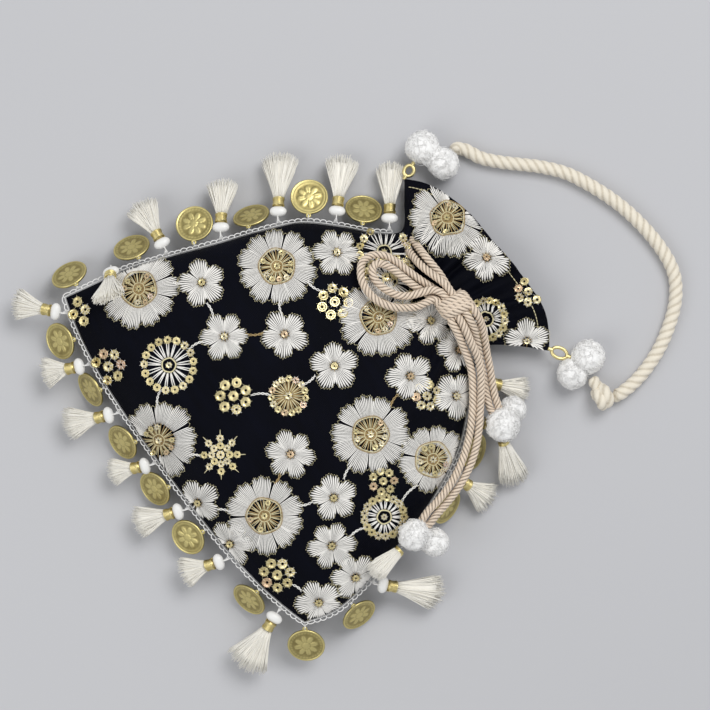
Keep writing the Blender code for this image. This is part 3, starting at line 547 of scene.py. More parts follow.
SILK = SlubSilk()
IVORY = SatinThread("ivory_satin_stitch", (0.46, 0.44, 0.40), (0.93, 0.905, 0.86))
PALE_GOLD = SatinThread("pale_gold_thread", (0.26, 0.20, 0.09), (0.80, 0.72, 0.44), (0.28, 0.45))
BROWN_GOLD = SatinThread("brown_gold_thread", (0.08, 0.045, 0.018), (0.42, 0.29, 0.12), (0.3, 0.5))
WHITE_LACE = SatinThread("white_cotton_lace", (0.55, 0.54, 0.52), (0.88, 0.87, 0.85), (0.6, 0.8))
BEAD_SATIN = SatinThread(
    "white_satin_bead", (0.62, 0.61, 0.58), (0.88, 0.87, 0.84), (0.3, 0.42), 0.1, 1600.0
)
# Its deep colour is painted shade in the cord's grooves and in the knot's core.
CHAMPAGNE = SatinThread(
    "champagne_satin_cord", (0.085, 0.055, 0.034), (0.80, 0.66, 0.52), (0.28, 0.45), 0.1
)
SEQUIN_GOLD = StampedMetal("gold_sequin", (0.34, 0.25, 0.07), (0.86, 0.74, 0.40), (0.22, 0.36))
SEQUIN_ROSE = StampedMetal("rose_gold_sequin", (0.30, 0.15, 0.08), (0.80, 0.56, 0.38), (0.22, 0.36))
BRASS = StampedMetal("stamped_brass", (0.20, 0.15, 0.05), (0.72, 0.62, 0.27), (0.3, 0.5))
# Its deep colour shows as painted shade on the cores under the gold turns.
WRAP_GOLD = StampedMetal("gold_wrap", (0.42, 0.32, 0.11), (0.86, 0.74, 0.36), (0.3, 0.45))
WOOL = Fibre("white_wool_pile", (0.86, 0.85, 0.84), (0.95, 0.94, 0.925), 900.0, 0.00008)
COTTON = Fibre("cream_cotton_strand", (0.84, 0.78, 0.66), (0.96, 0.925, 0.84), 1200.0, 0.00006)
# Its deep colour is painted shade in the rope's grooves.
ROPE_COTTON = Fibre("natural_cotton_rope", (0.50, 0.43, 0.32), (0.86, 0.79, 0.66), 800.0, 0.0002)


class Workshop:
    """Keeps the finishes and hangs every finished piece on its body."""

    def __init__(self, frame: dict) -> None:
        """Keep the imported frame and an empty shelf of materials."""
        self.frame = frame
        self.shelf: dict[str, bpy.types.Material] = {}

    def coat(self, obj: bpy.types.Object, finish: Finish) -> None:
        """Give an object a finish, made once for all that share it."""
        if finish.name not in self.shelf:
            self.shelf[finish.name] = finish.make()
        obj.data.materials.clear()
        obj.data.materials.append(self.shelf[finish.name])

    def dress(
        self,
        obj: bpy.types.Object,
        finish: Finish,
        body: str = ROOT_BODY,
        stands_for: Sequence[str] = (),
    ) -> bpy.types.Object:
        """Finish a piece and let it ride on its body.

        Args:
            obj: The piece.
            finish: Its finish.
            body: The body that it moves with.
            stands_for: The nodes that it replaces.

        Returns:
            The same piece.
        """
        self.coat(obj, finish)
        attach(obj, body)
        if stands_for:
            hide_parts(*stands_for)
        log.info("built %s with %d faces", obj.name, len(obj.data.polygons))
        return obj


@dataclass
class Studio:
    """Plain paper, soft light and the camera straight above the bag.

    Attributes:
        aim: The point under the camera, level with the seam.
        turn: How far the picture is turned from the bag's own axes, in degrees.
        width: What the picture shows from side to side at the seam's level.
        height: How high the camera stands over the seam.
        sensor: The camera's film width, in millimetres.
        paper: The side of the backdrop paper, in metres.
        ambient: The sky's strength.
        lamps: Each soft lamp's name, place in the picture, size and power.
    """

    aim: Triple = (0.0023, 0.0259, 0.019)
    turn: float = 55.0
    width: float = 0.355
    height: float = 1.25
    sensor: float = 36.0
    paper: float = 4.0
    ambient: float = 0.50
    lamps: tuple[tuple[str, Triple, float, float], ...] = (
        ("key_softbox", (0.55, 0.75, 1.35), 1.0, 14.0),
        ("fill_softbox", (-0.9, -0.5, 1.1), 1.2, 5.5),
    )

    def build(self, shop: Workshop) -> None:
        """Set up floor, light and camera.

        Args:
            shop: The workshop with the finishes.
        """
        self.lay_paper(shop)
        self.light()
        self.point_camera()

    def lay_paper(self, shop: Workshop) -> None:
        """Lay the backdrop paper level with what the bag lies on."""
        bpy.ops.mesh.primitive_plane_add(size=self.paper, location=(0.0, 0.0, 0.0))
        paper = bpy.context.active_object
        paper.name = "backdrop_paper"
        shop.coat(paper, Backdrop())

    def in_picture(self, right: float, up: float, height: float) -> Vector:
        """Give the place at a distance right and up in the picture, and a height over the seam."""
        turned = Matrix.Rotation(math.radians(self.turn), 4, "Z") @ Vector((right, up, height))
        return Vector(self.aim) + turned

    def light(self) -> None:
        """Light the bag with an even sky and two large soft lamps."""
        world = bpy.data.worlds.new("soft_sky")
        world.use_nodes = True
        bpy.context.scene.world = world
        sky = world.node_tree.nodes["Background"]
        sky.inputs["Color"].default_value = (0.96, 0.98, 1.0, 1.0)
        sky.inputs["Strength"].default_value = self.ambient
        for name, (right, up, height), size, power in self.lamps:
            data = bpy.data.lights.new(name, "AREA")
            data.shape = "DISK"
            data.size = size
            data.energy = power
            lamp = bpy.data.objects.new(name, data)
            lamp.location = self.in_picture(right, up, height)
            lamp.rotation_euler = (Vector(self.aim) - lamp.location).to_track_quat("-Z", "Y").to_euler()
            bpy.context.scene.collection.objects.link(lamp)

    def point_camera(self) -> None:
        """Point the camera straight down, framed on the width of the picture."""
        data = bpy.data.cameras.new("overhead_camera")
        data.sensor_width = self.sensor
        data.sensor_fit = "HORIZONTAL"
        data.lens = self.sensor * self.height / self.width
        data.clip_end = 20.0
        camera = bpy.data.objects.new("overhead_camera", data)
        camera.location = self.in_picture(0.0, 0.0, self.height)
        camera.rotation_euler = (0.0, 0.0, math.radians(self.turn))
        bpy.context.scene.collection.objects.link(camera)
        bpy.context.scene.camera = camera
        bpy.context.scene.view_settings.view_transform = "Standard"


class Route:
    """A cord's middle line, smooth through its points and read at even steps."""

    def __init__(self, points: Sequence[Triple], step: float) -> None:
        """Lay the line.

        Args:
            points: The points it runs through.
            step: The wanted distance between its rings.
        """
        knots = np.array(points, float)
        fine = through(knots, np.linspace(0.0, len(knots) - 1.0, 24 * len(knots)))
        reach = distances(fine)
        self.length = float(reach[-1])
        self.places = np.linspace(0.0, self.length, max(8, round(self.length / step)) + 1)
        self.middles = read_line(fine, reach, self.places)

    def frames(self) -> tuple[np.ndarray, np.ndarray]:
        """Give the two directions across the line at each ring, without twist from ring to ring.

        Returns:
            The first and the second direction, one row a ring.
        """
        run = unit(np.gradient(self.middles, axis=0))
        side = np.cross(run[0], (0.0, 0.0, 1.0) if abs(run[0, 2]) < 0.9 else (1.0, 0.0, 0.0))
        sides = []
        for direction in run:
            side = side - direction * float(side @ direction)
            side = side / np.linalg.norm(side)
            sides.append(side)
        first = np.array(sides)
        return first, np.cross(run, first)


@dataclass
class LaidRope:
    """Plies laid round each other into a cord.

    Attributes:
        diameter: Across the finished cord.
        plies: How many plies it has.
        lay: The length in which a ply goes once round.
        groove: The share of the radius that is lost between two plies.
        around: Corners round the section for each ply.
        second_tone: How much darker every other ply is.
    """

    diameter: float
    plies: int
    lay: float
    groove: float = 0.24
    around: int = 5
    second_tone: float = 0.0

    def skin(self, bench: Bench, route: Route, taper: float = 0.0, hand: int = 1) -> None:
        """Lay the cord's skin along a route.

        Args:
            bench: Where it goes.
            route: Its middle line.
            taper: The length over which each end narrows.
            hand: 1 or -1, for the way in which the plies turn.
        """
        sides = self.plies * self.around
        first, second = route.frames()
        turn = math.tau * (np.arange(sides)[None] / sides + hand * route.places[:, None] / self.lay)
        crest = np.abs(np.cos(np.pi * np.arange(sides) / self.around)) ** 0.8
        radius = 0.5 * self.diameter * (1.0 - self.groove * (1.0 - crest))
        size = np.ones(len(route.places))
        if taper:
            ends = np.minimum(route.places, route.length - route.places) / taper
            size = 0.55 + 0.45 * np.sqrt(np.clip(ends, 0.0, 1.0))
        reach = size[:, None] * radius[None]
        ring = route.middles[:, None] + reach[..., None] * (
            first[:, None] * np.cos(turn)[..., None] + second[:, None] * np.sin(turn)[..., None]
        )
        ply = ((np.arange(sides) + self.around // 2) // self.around) % 2
        # Painted shade: the shade value falls from each ply's crest into the grooves between plies, and
        # every other ply also takes a darker tone of its own.
        shade = np.clip(0.12 + 0.88 * crest**1.8 - self.second_tone * ply, 0.0, 1.0)
        bench.rows(ring, np.broadcast_to(shade, ring.shape[:2]))

    @property
    def step(self) -> float:
        """Give the ring spacing at which a ply moves on by one corner."""
        return self.lay / (self.plies * self.around)


@dataclass
class Drawstrings:
    """Both drawcords, the bow, the tails and the knot that gathers them.

    Each strand is a limp cord at the route of its own solid. The strands meet in the knot, so each
    one ends there or at what it carries.
    """

    cord: LaidRope = field(default_factory=lambda: LaidRope(0.0040, 4, 0.0092, 0.30, 6, 0.14))
    knot_centre: Triple = (0.0105, 0.0806, 0.0316)
    knot_half: Triple = (0.0059, 0.0088, 0.0050)
    knot_turns: float = 3.0
    points_a_turn: int = 22
    tuck: float = 0.0024
    left_laid: tuple[str, ...] = ("drawcord_2", "bow_loop_inner", "tail_1b", "tail_2b")
    pompoms: tuple[tuple[Triple, float], ...] = (
        ((0.0733, 0.0664, 0.0214), 0.0090), ((0.0920, -0.0012, 0.0332), 0.0083),
    )
    routes: dict[str, tuple[Triple, ...]] = field(
        default_factory=lambda: {
            "drawcord_1": (
                (0.0043, 0.0827, 0.03375), (0.001, 0.0826, 0.0336), (-0.003, 0.0819, 0.033),
                (-0.008, 0.0803, 0.0316), (-0.013, 0.0788, 0.0296), (-0.017, 0.078, 0.0272),
                (-0.0204, 0.0778, 0.024), (-0.0237, 0.0778, 0.0202), (-0.027, 0.0778, 0.0164),
                (-0.0296, 0.0778, 0.0126), (-0.029, 0.0778, 0.009), (-0.0255, 0.0778, 0.0069),
                (-0.02, 0.0778, 0.006), (-0.01, 0.0778, 0.0059), (0.0, 0.0778, 0.0059),
                (0.01, 0.0778, 0.0059), (0.02, 0.0778, 0.006), (0.0256, 0.0778, 0.0069),
                (0.0294, 0.0778, 0.0092), (0.0302, 0.0778, 0.013), (0.0282, 0.0778, 0.0172),
                (0.0254, 0.0778, 0.0212), (0.0226, 0.0779, 0.0252), (0.0199, 0.0783, 0.0285),
                (0.0184, 0.0785, 0.0293), (0.0167, 0.0785, 0.02945),
            ),
            "drawcord_2": (
                (0.0043, 0.0827, 0.02945), (0.0, 0.083, 0.0289), (-0.006, 0.0834, 0.028),
                (-0.012, 0.0831, 0.0276), (-0.0168, 0.0827, 0.0268), (-0.0204, 0.0826, 0.024),
                (-0.0237, 0.0826, 0.0202), (-0.027, 0.0826, 0.0164), (-0.0296, 0.0826, 0.0126),
                (-0.029, 0.0826, 0.009), (-0.0255, 0.0826, 0.0069), (-0.02, 0.0826, 0.006),
                (-0.01, 0.0826, 0.0059), (0.0, 0.0826, 0.0059), (0.01, 0.0826, 0.0059),
                (0.02, 0.0826, 0.006), (0.0256, 0.0826, 0.0069), (0.0294, 0.0826, 0.0092),
                (0.0302, 0.0826, 0.013), (0.0282, 0.0826, 0.0172), (0.0254, 0.0826, 0.0212),
                (0.0226, 0.0826, 0.0252), (0.0199, 0.0827, 0.0285), (0.0184, 0.0828, 0.0293),
                (0.0167, 0.0828, 0.02945),
            ),
            "bow_loop_outer": (
                (0.0043, 0.0785, 0.02945), (0.001, 0.078, 0.0292), (-0.003, 0.0766, 0.0287),
                (-0.009, 0.074, 0.0298), (-0.017, 0.0712, 0.0304), (-0.0244, 0.0689, 0.0308),
                (-0.03, 0.0658, 0.032), (-0.0334, 0.0605, 0.0336), (-0.0328, 0.0546, 0.0362),
                (-0.027, 0.0502, 0.0398), (-0.0205, 0.049, 0.0408), (-0.013, 0.0503, 0.041),
                (-0.0065, 0.0546, 0.0398), (-0.0024, 0.0596, 0.0378), (0.0004, 0.0648, 0.036),
                (0.0012, 0.0696, 0.035), (0.0022, 0.0733, 0.03385), (0.0032, 0.0743, 0.03375),
                (0.0043, 0.0744, 0.03375),
            ),
            "bow_loop_inner": (
                (0.0043, 0.0742, 0.02945), (0.001, 0.0738, 0.0295), (-0.003, 0.0722, 0.0298),
                (-0.009, 0.0695, 0.0321), (-0.017, 0.067, 0.0325), (-0.024, 0.0646, 0.0328),
                (-0.0282, 0.0613, 0.0346), (-0.0279, 0.0576, 0.0368), (-0.0235, 0.0553, 0.038),
                (-0.017, 0.0562, 0.0382), (-0.0105, 0.0595, 0.0376), (-0.0065, 0.0642, 0.0361),
                (-0.0044, 0.0696, 0.0352), (-0.0024, 0.0754, 0.034), (0.0013, 0.0784, 0.0338),
                (0.0043, 0.0788, 0.03375),
            ),
            "tail_1a": (
                (0.0167, 0.087, 0.03375), (0.02, 0.0869, 0.0332), (0.025, 0.0862, 0.029),
                (0.03, 0.0846, 0.0256), (0.035, 0.0824, 0.023), (0.04, 0.08, 0.0212),
                (0.045, 0.0779, 0.0202), (0.05, 0.0756, 0.0196), (0.055, 0.0732, 0.0192),
                (0.06, 0.0712, 0.0188), (0.0636, 0.0702, 0.0186),
            ),
            "tail_1b": (
                (0.0167, 0.0827, 0.03375), (0.02, 0.0826, 0.0334), (0.025, 0.0817, 0.0302),
                (0.03, 0.0801, 0.0262), (0.035, 0.078, 0.0236), (0.04, 0.0756, 0.0218),
                (0.045, 0.0735, 0.0206), (0.05, 0.0712, 0.0198), (0.055, 0.0688, 0.0194),
                (0.06, 0.0669, 0.019), (0.0634, 0.0658, 0.0188),
            ),
            "tail_2a": (
                (0.0167, 0.0785, 0.03375), (0.02, 0.0783, 0.0335), (0.025, 0.0776, 0.0326),
                (0.03, 0.0766, 0.0308), (0.035, 0.0759, 0.0286), (0.04, 0.0746, 0.0266),
                (0.045, 0.0723, 0.0252), (0.05, 0.0692, 0.0242), (0.055, 0.0656, 0.0234),
                (0.0606, 0.0612, 0.0228), (0.067, 0.0562, 0.0224), (0.0734, 0.0502, 0.0222),
                (0.079, 0.0434, 0.0222), (0.0836, 0.0356, 0.0226), (0.0872, 0.027, 0.023),
                (0.0896, 0.0184, 0.0244), (0.0909, 0.0124, 0.027), (0.0922, 0.0084, 0.0288),
            ),
            "tail_2b": (
                (0.0167, 0.0742, 0.03375), (0.02, 0.074, 0.0331), (0.025, 0.0733, 0.0308),
                (0.03, 0.0722, 0.0282), (0.035, 0.0712, 0.0262), (0.04, 0.0697, 0.0246),
                (0.045, 0.0673, 0.0236), (0.05, 0.0642, 0.0228), (0.055, 0.0608, 0.0222),
                (0.06, 0.0568, 0.0224), (0.0656, 0.0518, 0.0226), (0.0708, 0.0464, 0.0228),
                (0.0756, 0.0402, 0.0234), (0.0798, 0.0332, 0.0242), (0.0832, 0.0254, 0.0252),
                (0.0854, 0.0176, 0.0266), (0.0864, 0.0118, 0.0286), (0.0876, 0.0079, 0.0304),
            ),
        }
    )
    loads: dict[str, tuple[str, ...]] = field(
        default_factory=lambda: {
            "drawcord_1": ("drawstring_knot_wraps",),
            "tail_1a": ("pompoms_tail_1_pile", "tail_tassel_1_skirt", "tail_tassel_1_wrap"),
            "tail_2a": ("pompoms_tail_2_pile", "tail_tassel_2_skirt", "tail_tassel_2_wrap"),
        }
    )

    def build(self, shop: Workshop) -> None:
        """Lay every strand and bind the knot.

        Args:
            shop: The workshop that finishes the pieces.
        """
        for name, points in self.routes.items():
            bench = Bench()
            route = Route(self.tucked(points), self.cord.step)
            self.cord.skin(bench, route, 0.0008, -1 if name in self.left_laid else 1)
            strand = bench.piece(f"{name}_strand")
            shop.dress(strand, CHAMPAGNE, stands_for=(name,))
            self.strands[name] = (strand, route)
        self.bind_knot(shop)

    def tucked(self, points: Sequence[Triple]) -> list[Triple]:
        """Run each end a little way into the knot or the pompom that it meets.

        Args:
            points: A strand's points.

        Returns:
            The points, with one more at each such end.
        """
        longer = list(points)
        for at, end in ((0, Vector(points[0])), (len(longer) + 1, Vector(points[-1]))):
            gap = Vector(self.knot_centre) - end
            if gap.length < 2.2 * self.knot_half[1]:
                inward = Vector((math.copysign(self.tuck, gap.x), 0.12 * gap.y, 0.12 * gap.z))
                longer.insert(at, tuple(end + inward))
            for centre, radius in self.pompoms:
                gap = Vector(centre) - end
                if gap.length < radius + 2.0 * self.tuck:
                    longer.insert(at, tuple(end + gap.normalized() * (gap.length - 0.8 * radius)))
        return longer

    def __post_init__(self) -> None:
        """Keep the strands by name."""
        self.strands: dict[str, tuple[bpy.types.Object, Route]] = {}

    def bind_knot(self, shop: Workshop) -> None:
        """Wrap two cords side by side round the strands, and fill the middle with a darker core of painted
        shade.

        Args:
            shop: The workshop that finishes the knot.
        """
        bench = Bench()
        long, across, high = self.knot_half
        radius = self.cord.diameter / 2.0
        centre = np.array(self.knot_centre)
        count = int(self.knot_turns * self.points_a_turn)
        for start in (0.0, 0.5):
            turn = math.tau * (np.arange(count + 1) / self.points_a_turn + start)
            share = np.linspace(-1.0, 1.0, count + 1)
            lean = 0.0016 * np.cos(turn)
            points = centre + np.stack(
                [
                    share * (long - radius) + lean,
                    (across - radius) * np.cos(turn),
                    (high - 0.4 * radius) * np.sin(turn),
                ],
                1,
            )
            self.cord.skin(bench, Route([tuple(p) for p in points], self.cord.step), 0.0015)
        # The core carries a low shade value: painted shade in the gaps between the wraps.
        spin = spaced(20)
        core = np.stack([0.0 * spin, 0.8 * across * np.cos(spin), 0.62 * high * np.sin(spin)], 1)
        along = np.linspace(-0.9, 0.9, 5) * long
        bench.rows(centre + core[None] + np.stack([along, 0 * along, 0 * along], 1)[:, None], 0.3)
        shop.dress(
            bench.piece("drawstring_knot_wraps"), CHAMPAGNE, stands_for=("drawstring_knot",)
        )


@dataclass
class Handle:
    """The three-ply cotton rope, its knot and the gold loops that hold it."""

    rope: LaidRope = field(default_factory=lambda: LaidRope(0.0070, 3, 0.0135, 0.18, 7))
    route: tuple[Triple, ...] = (
        (-0.0536, 0.1282, 0.004), (-0.0503, 0.1314, 0.0037), (-0.0428, 0.1354, 0.0036),
        (-0.0349, 0.1428, 0.0036), (-0.0275, 0.1512, 0.0036), (-0.0209, 0.1584, 0.0036),
        (-0.0115, 0.1664, 0.0036), (0.0, 0.1726, 0.0036), (0.0121, 0.1776, 0.0036),
        (0.0234, 0.1809, 0.0036), (0.0362, 0.1831, 0.0036), (0.0473, 0.1837, 0.0036),
        (0.0567, 0.1829, 0.0036), (0.0647, 0.1802, 0.0036), (0.0729, 0.1744, 0.0036),
        (0.0799, 0.1665, 0.0036), (0.087, 0.1557, 0.0036), (0.0919, 0.1444, 0.0037),
        (0.0947, 0.1334, 0.0042), (0.0952, 0.1234, 0.005),
    )
    knot_centre: Triple = (0.0916, 0.1163, 0.0068)
    knot_half: Triple = (0.0052, 0.0066, 0.0060)
    stub: Triple = (-0.0118, 0.0010, 0.0)
    upper_pompom: Triple = (-0.0513, 0.1176, 0.0086)
    tuck: float = 0.0030
    wire: float = 0.0009
    bend_points: int = 49
    loops: tuple[tuple[str, Triple, Triple, float], ...] = (
        ("handle_loop_upper", (-0.0569, 0.0988, 0.0100), (-0.0593, 0.1040, 0.0098), 0.0024),
        ("handle_loop_lower", (0.0571, 0.1086, 0.0102), (0.0639, 0.1130, 0.0096), 0.0026),
    )

    def build(self, shop: Workshop) -> None:
        """Lay the rope, tie its knot and hang the loops.

        Args:
            shop: The workshop that finishes the pieces.
        """
        self.tie_knot(shop)
        self.hang_loops(shop)
        bench = Bench()
        start, end = Vector(self.route[0]), Vector(self.route[-1])
        into_pile = (Vector(self.upper_pompom) - start).normalized() * self.tuck
        into_knot = (Vector(self.knot_centre) - end).normalized() * self.tuck
        points = [tuple(start + into_pile), *self.route, tuple(end + into_knot)]
        route = Route(points, self.rope.step)
        self.rope.skin(bench, route, 0.002)
        plies = bench.piece("handle_rope_plies")
        rope = shop.dress(plies, ROPE_COTTON, stands_for=("handle_rope",))

    def tie_knot(self, shop: Workshop) -> None:
        """Wind the rope's own end into its knot, with the stub that runs to the pompoms."""
        bench = Bench()
        centre = np.array(self.knot_centre)
        long, across, high = self.knot_half
        radius = 0.46 * self.rope.diameter
        thin = LaidRope(2.0 * radius, 3, 0.0125, 0.18, 6)
        turn = np.linspace(0.0, math.tau * 1.9, 44)
        points = centre + np.stack(
            [
                (long - 0.55 * radius) * np.cos(turn),
                (across - radius) * np.linspace(-1.0, 1.0, 44) + 0.0007 * np.sin(turn),
                (high - 0.8 * radius) * np.sin(turn),
            ],
            1,
        )
        thin.skin(bench, Route([tuple(p) for p in points], thin.step), 0.003)
        reach = np.array(self.stub)
        inner = centre - 0.15 * reach
        stub = [tuple(inner + reach * share) for share in np.linspace(0.0, 1.12, 6)]
        thin.skin(bench, Route(stub, thin.step), 0.002)
        shop.dress(bench.piece("rope_knot_turns"), ROPE_COTTON, stands_for=("rope_knot",))

    def hang_loops(self, shop: Workshop) -> None:
        """Bend the two gold loops."""
        for name, start, end, half_width in self.loops:
            a, b, along, across = pair_axes(start, end)
            turn = np.linspace(0.0, math.tau, self.bend_points)
            middle = (
                np.array((a + b) / 2.0)
                + np.cos(turn)[:, None] * np.array(along) * (b - a).length / 2.0
                + np.sin(turn)[:, None] * np.array(across) * half_width
            )
            bench = Bench()
            up = np.array(along.cross(across))
            bench.thread(middle, self.wire, up, 10, 0.8)
            for tip, way in ((a, -1.0), (b, 1.0)):
                run = np.linspace(-0.0004, 0.0022, 10)
                shank = np.array(tip)[None] + np.outer(run, np.array(along) * way)
                whip = 0.0010 + 0.00012 * np.cos(np.arange(10) * np.pi)
                bench.thread(shank, whip, up, 10, 0.7)
            shop.dress(bench.piece(f"{name}_wire"), WRAP_GOLD, stands_for=(name,))


@dataclass
class Pompoms:
    """Pairs of wool pompoms: a clipped ball of pile over a lumpy heart."""

    pairs: tuple[tuple[str, tuple[Triple, float], tuple[Triple, float]], ...] = (
        ("pompoms_tail_1", ((0.0733, 0.0664, 0.0214), 0.0090), ((0.0701, 0.0752, 0.0130), 0.0070)),
        ("pompoms_tail_2", ((0.0920, -0.0012, 0.0332), 0.0083), ((0.1011, 0.0049, 0.0260), 0.0075)),
        ("pompoms_handle_upper", ((-0.0638, 0.1136, 0.0096), 0.0090), ((-0.0513, 0.1176, 0.0086), 0.0084)),
        ("pompoms_handle_lower", ((0.0704, 0.1215, 0.0091), 0.0090), ((0.0728, 0.1101, 0.0084), 0.0082)),
    )
    tufts: int = 850
    tuft_half: float = 0.00017

    def build(self, shop: Workshop) -> None:
        """Make each pair.

        Args:
            shop: The workshop that finishes the pieces.
        """
        for name, *balls in self.pairs:
            bench = Bench()
            for index, (centre, radius) in enumerate(balls):
                self.ball(bench, np.array(centre), radius, seed=len(name) * 7 + index)
            (first, large), (second, small) = balls
            middle = 0.5 * (np.array(first) + np.array(second))
            self.ball(bench, middle, 0.36 * (large + small), seed=len(name) * 7 + 5)
            shop.dress(bench.piece(f"{name}_pile"), WOOL, stands_for=(name,))

    def lumps(self, places: np.ndarray, seed: int) -> np.ndarray:
        """Give how far a ball swells at directions from its middle."""
        return np.array([noise.noise(Vector(p) * 2.2 + Vector((seed, 0, 0))) for p in places])

    def ball(self, bench: Bench, centre: np.ndarray, radius: float, seed: int) -> None:
        """Make one ball.

        Args:
            bench: Where it goes.
            centre: Its middle.
            radius: From the middle to the clipped ends.
            seed: What makes this ball differ from the others.
        """
        rng = np.random.default_rng(seed)
        heart = bmesh.new()
        bmesh.ops.create_icosphere(heart, subdivisions=4, radius=1.0)
        points = np.array([v.co for v in heart.verts])
        faces = [[v.index for v in f.verts] for f in heart.faces]
        heart.free()
        lump = self.lumps(points, seed)
        fine = np.array([noise.noise(Vector(p) * 9.0 + Vector((0, seed, 0))) for p in points])
        size = radius * (0.90 + 0.12 * lump + 0.035 * fine)
        bench.add(centre + points * size[:, None], faces, 1.0 + 0.1 * fine)
        out = unit(rng.normal(size=(self.tufts, 3)))
        lump = self.lumps(out, seed)
        bend = rng.normal(scale=0.16, size=(self.tufts, 3))
        tip = radius * (0.945 + 0.12 * lump + rng.uniform(-0.03, 0.055, self.tufts))
        share = np.array([0.88, 0.95, 1.0])
        lean = np.array([0.0, 0.5, 1.5])
        ways = unit(out[:, None] + bend[:, None] * lean[:, None])
        middles = centre + (tip[:, None] * share)[..., None] * ways
        middles[..., 2] = np.maximum(middles[..., 2], self.tuft_half * 1.2)
        wide = self.tuft_half * np.broadcast_to(np.array([1.3, 1.1, 0.5]), (self.tufts, 3))
        up = unit(np.cross(out, rng.normal(size=(self.tufts, 3))))[:, None]
        bench.strands(middles, wide, wide, up, 3, rng.uniform(0.88, 1.0, self.tufts))


@dataclass
class Skirt:
    """Loose cotton strands spread into a fan, along local +X from a bound root.

    Attributes:
        root: Where the strands leave their wrap.
        end: Where the fan ends.
        bound: The bundle's radius at the wrap.
        half_width: Half the fan's width at its end.
        half_thick: Half its thickness there.
        count: How many strands there are.
    """

    root: float
    end: float
    bound: float
    half_width: float
    half_thick: float
    count: int = 230
    thick: float = 0.00031
    rings: int = 5

    def spread(self, bench: Bench, rng: np.random.Generator) -> None:
        """Lay the strands.

        Args:
            bench: Where they go, in the tassel's own coordinates.
            rng: What makes the strands differ.
        """
        share = np.linspace(0.0, 1.0, self.rings)
        side = np.sort(rng.uniform(-1.0, 1.0, self.count))
        side = np.sign(side) * np.abs(side) ** 0.9
        deep = rng.uniform(-1.0, 1.0, self.count) * np.sqrt(1.0 - 0.8 * side**2)
        reach = (self.end - self.root) * (1.0 - 0.16 * side**2 - rng.uniform(0.0, 0.13, self.count))
        flare = share**1.15
        x = self.root + reach[:, None] * share
        y = side[:, None] * (self.bound * (1.0 - flare) + self.half_width * flare)
        z = deep[:, None] * (self.bound * (1.0 - flare) + 0.85 * self.half_thick * flare)
        wander = rng.normal(scale=0.0007, size=(self.count, 2, 1)) * np.sin(np.pi * share) * share
        curl = rng.normal(scale=0.0005, size=(self.count, 2, 1)) * share**2
        edge = self.bound * (1.0 - flare) + self.half_width * flare
        y = np.clip(y + wander[:, 0] + curl[:, 0], -edge, edge)
        z = np.clip(z + 0.5 * (wander[:, 1] + curl[:, 1]), -self.half_thick, self.half_thick)
        wide = self.thick * np.array([1.0] * (self.rings - 1) + [0.45])
        tone = rng.uniform(0.62, 1.0, self.count)
        bench.strands(np.stack([x, y, z], -1), wide, wide, UP, 3, tone)
        self.heart(bench)

    def heart(self, bench: Bench) -> None:
        """Fill the fan's inside, where strands lie too deep to be seen one by one."""
        turn = spaced(14)
        rings = []
        for share in (0.0, 0.3, 0.6, 0.78):
            flare = share**1.15
            y = 0.90 * (self.bound * (1.0 - flare) + self.half_width * flare)
            z = 0.8 * (self.bound * (1.0 - flare) + 0.8 * self.half_thick * flare)
            x = self.root + share * (self.end - self.root)
            bulge = x - 0.05 * y * np.cos(turn) ** 2
            rings.append(np.stack([bulge, y * np.cos(turn), z * np.sin(turn)], 1))
        bench.rows(np.array(rings), 1.0)


POINTS_A_WRAP = 18
GOLD_WIRE = 0.00032


def wrap_rings(bench: Bench, start: float, end: float, radius: float, wire: float, turns: int) -> None:
    """Wind gold thread round a bundle, along local +X, over a darker core of painted shade.

    Args:
        bench: Where it goes.
        start: Where the winding starts.
        end: Where it ends.
        radius: Out to the winding's crest.
        wire: The thread's half thickness.
        turns: How many turns it has.
    """
    count = POINTS_A_WRAP * turns
    turn = math.tau * np.arange(count + 1) / POINTS_A_WRAP
    x = np.linspace(start + wire, end - wire, count + 1)
    bulge = 1.0 - 0.06 * np.cos(np.linspace(-np.pi, np.pi, count + 1))
    out = (radius - wire) * bulge
    middle = np.stack([x, out * np.cos(turn), out * np.sin(turn)], 1)
    bench.thread(middle, wire, np.array((1.0, 0.0, 0.0)), 5, 0.75)
    # The core under the turns carries a low shade value: painted shade between the turns.
    spin = spaced(14)
    inner = np.stack([0.0 * spin, np.cos(spin), np.sin(spin)], 1) * (radius - 1.4 * wire)
    places = np.array([start, end])
    bench.rows(inner[None] + np.stack([places, 0 * places, 0 * places], 1)[:, None], 0.2)


@dataclass
class TailTassels:
    """The two tassels at the drawstrings' ends, each bound with a thin gold wrap."""

    places: tuple[tuple[str, Triple, Triple, float, float], ...] = (
        ("tail_tassel_1", (0.0801, 0.0621, 0.0166), (0.1030, 0.0550, 0.0046), 0.0076, 0.0),
        ("tail_tassel_2", (0.0942, -0.0108, 0.0308), (0.0962, -0.0304, 0.0332), 0.0062, 44.0),
    )
    wrap: float = 0.0032
    half_thick: float = 0.0030
    strands: int = 300

    def build(self, shop: Workshop) -> None:
        """Make both tassels.

        Args:
            shop: The workshop that finishes the pieces.
        """
        for index, (name, start, end, half_width, roll) in enumerate(self.places):
            a, b, along, across = pair_axes(start, end)
            rolled = Matrix.Rotation(math.radians(roll), 4, "X")
            place = Matrix.Translation(a) @ turned_to(along, across) @ rolled
            rng = np.random.default_rng(90 + index)
            skirt = Bench()
            length = (b - a).length
            fan = Skirt(
                0.5 * self.wrap, length, 0.8 * self.wrap, half_width, self.half_thick, self.strands
            )
            fan.spread(skirt, rng)
            shop.dress(skirt.piece(f"{name}_skirt", place=place), COTTON, stands_for=(name,))
            gold = Bench()
            wrap_rings(gold, 0.0, 0.7 * self.wrap, 0.9 * self.wrap, GOLD_WIRE, 3)
            shop.dress(gold.piece(f"{name}_wrap", place=place), WRAP_GOLD)


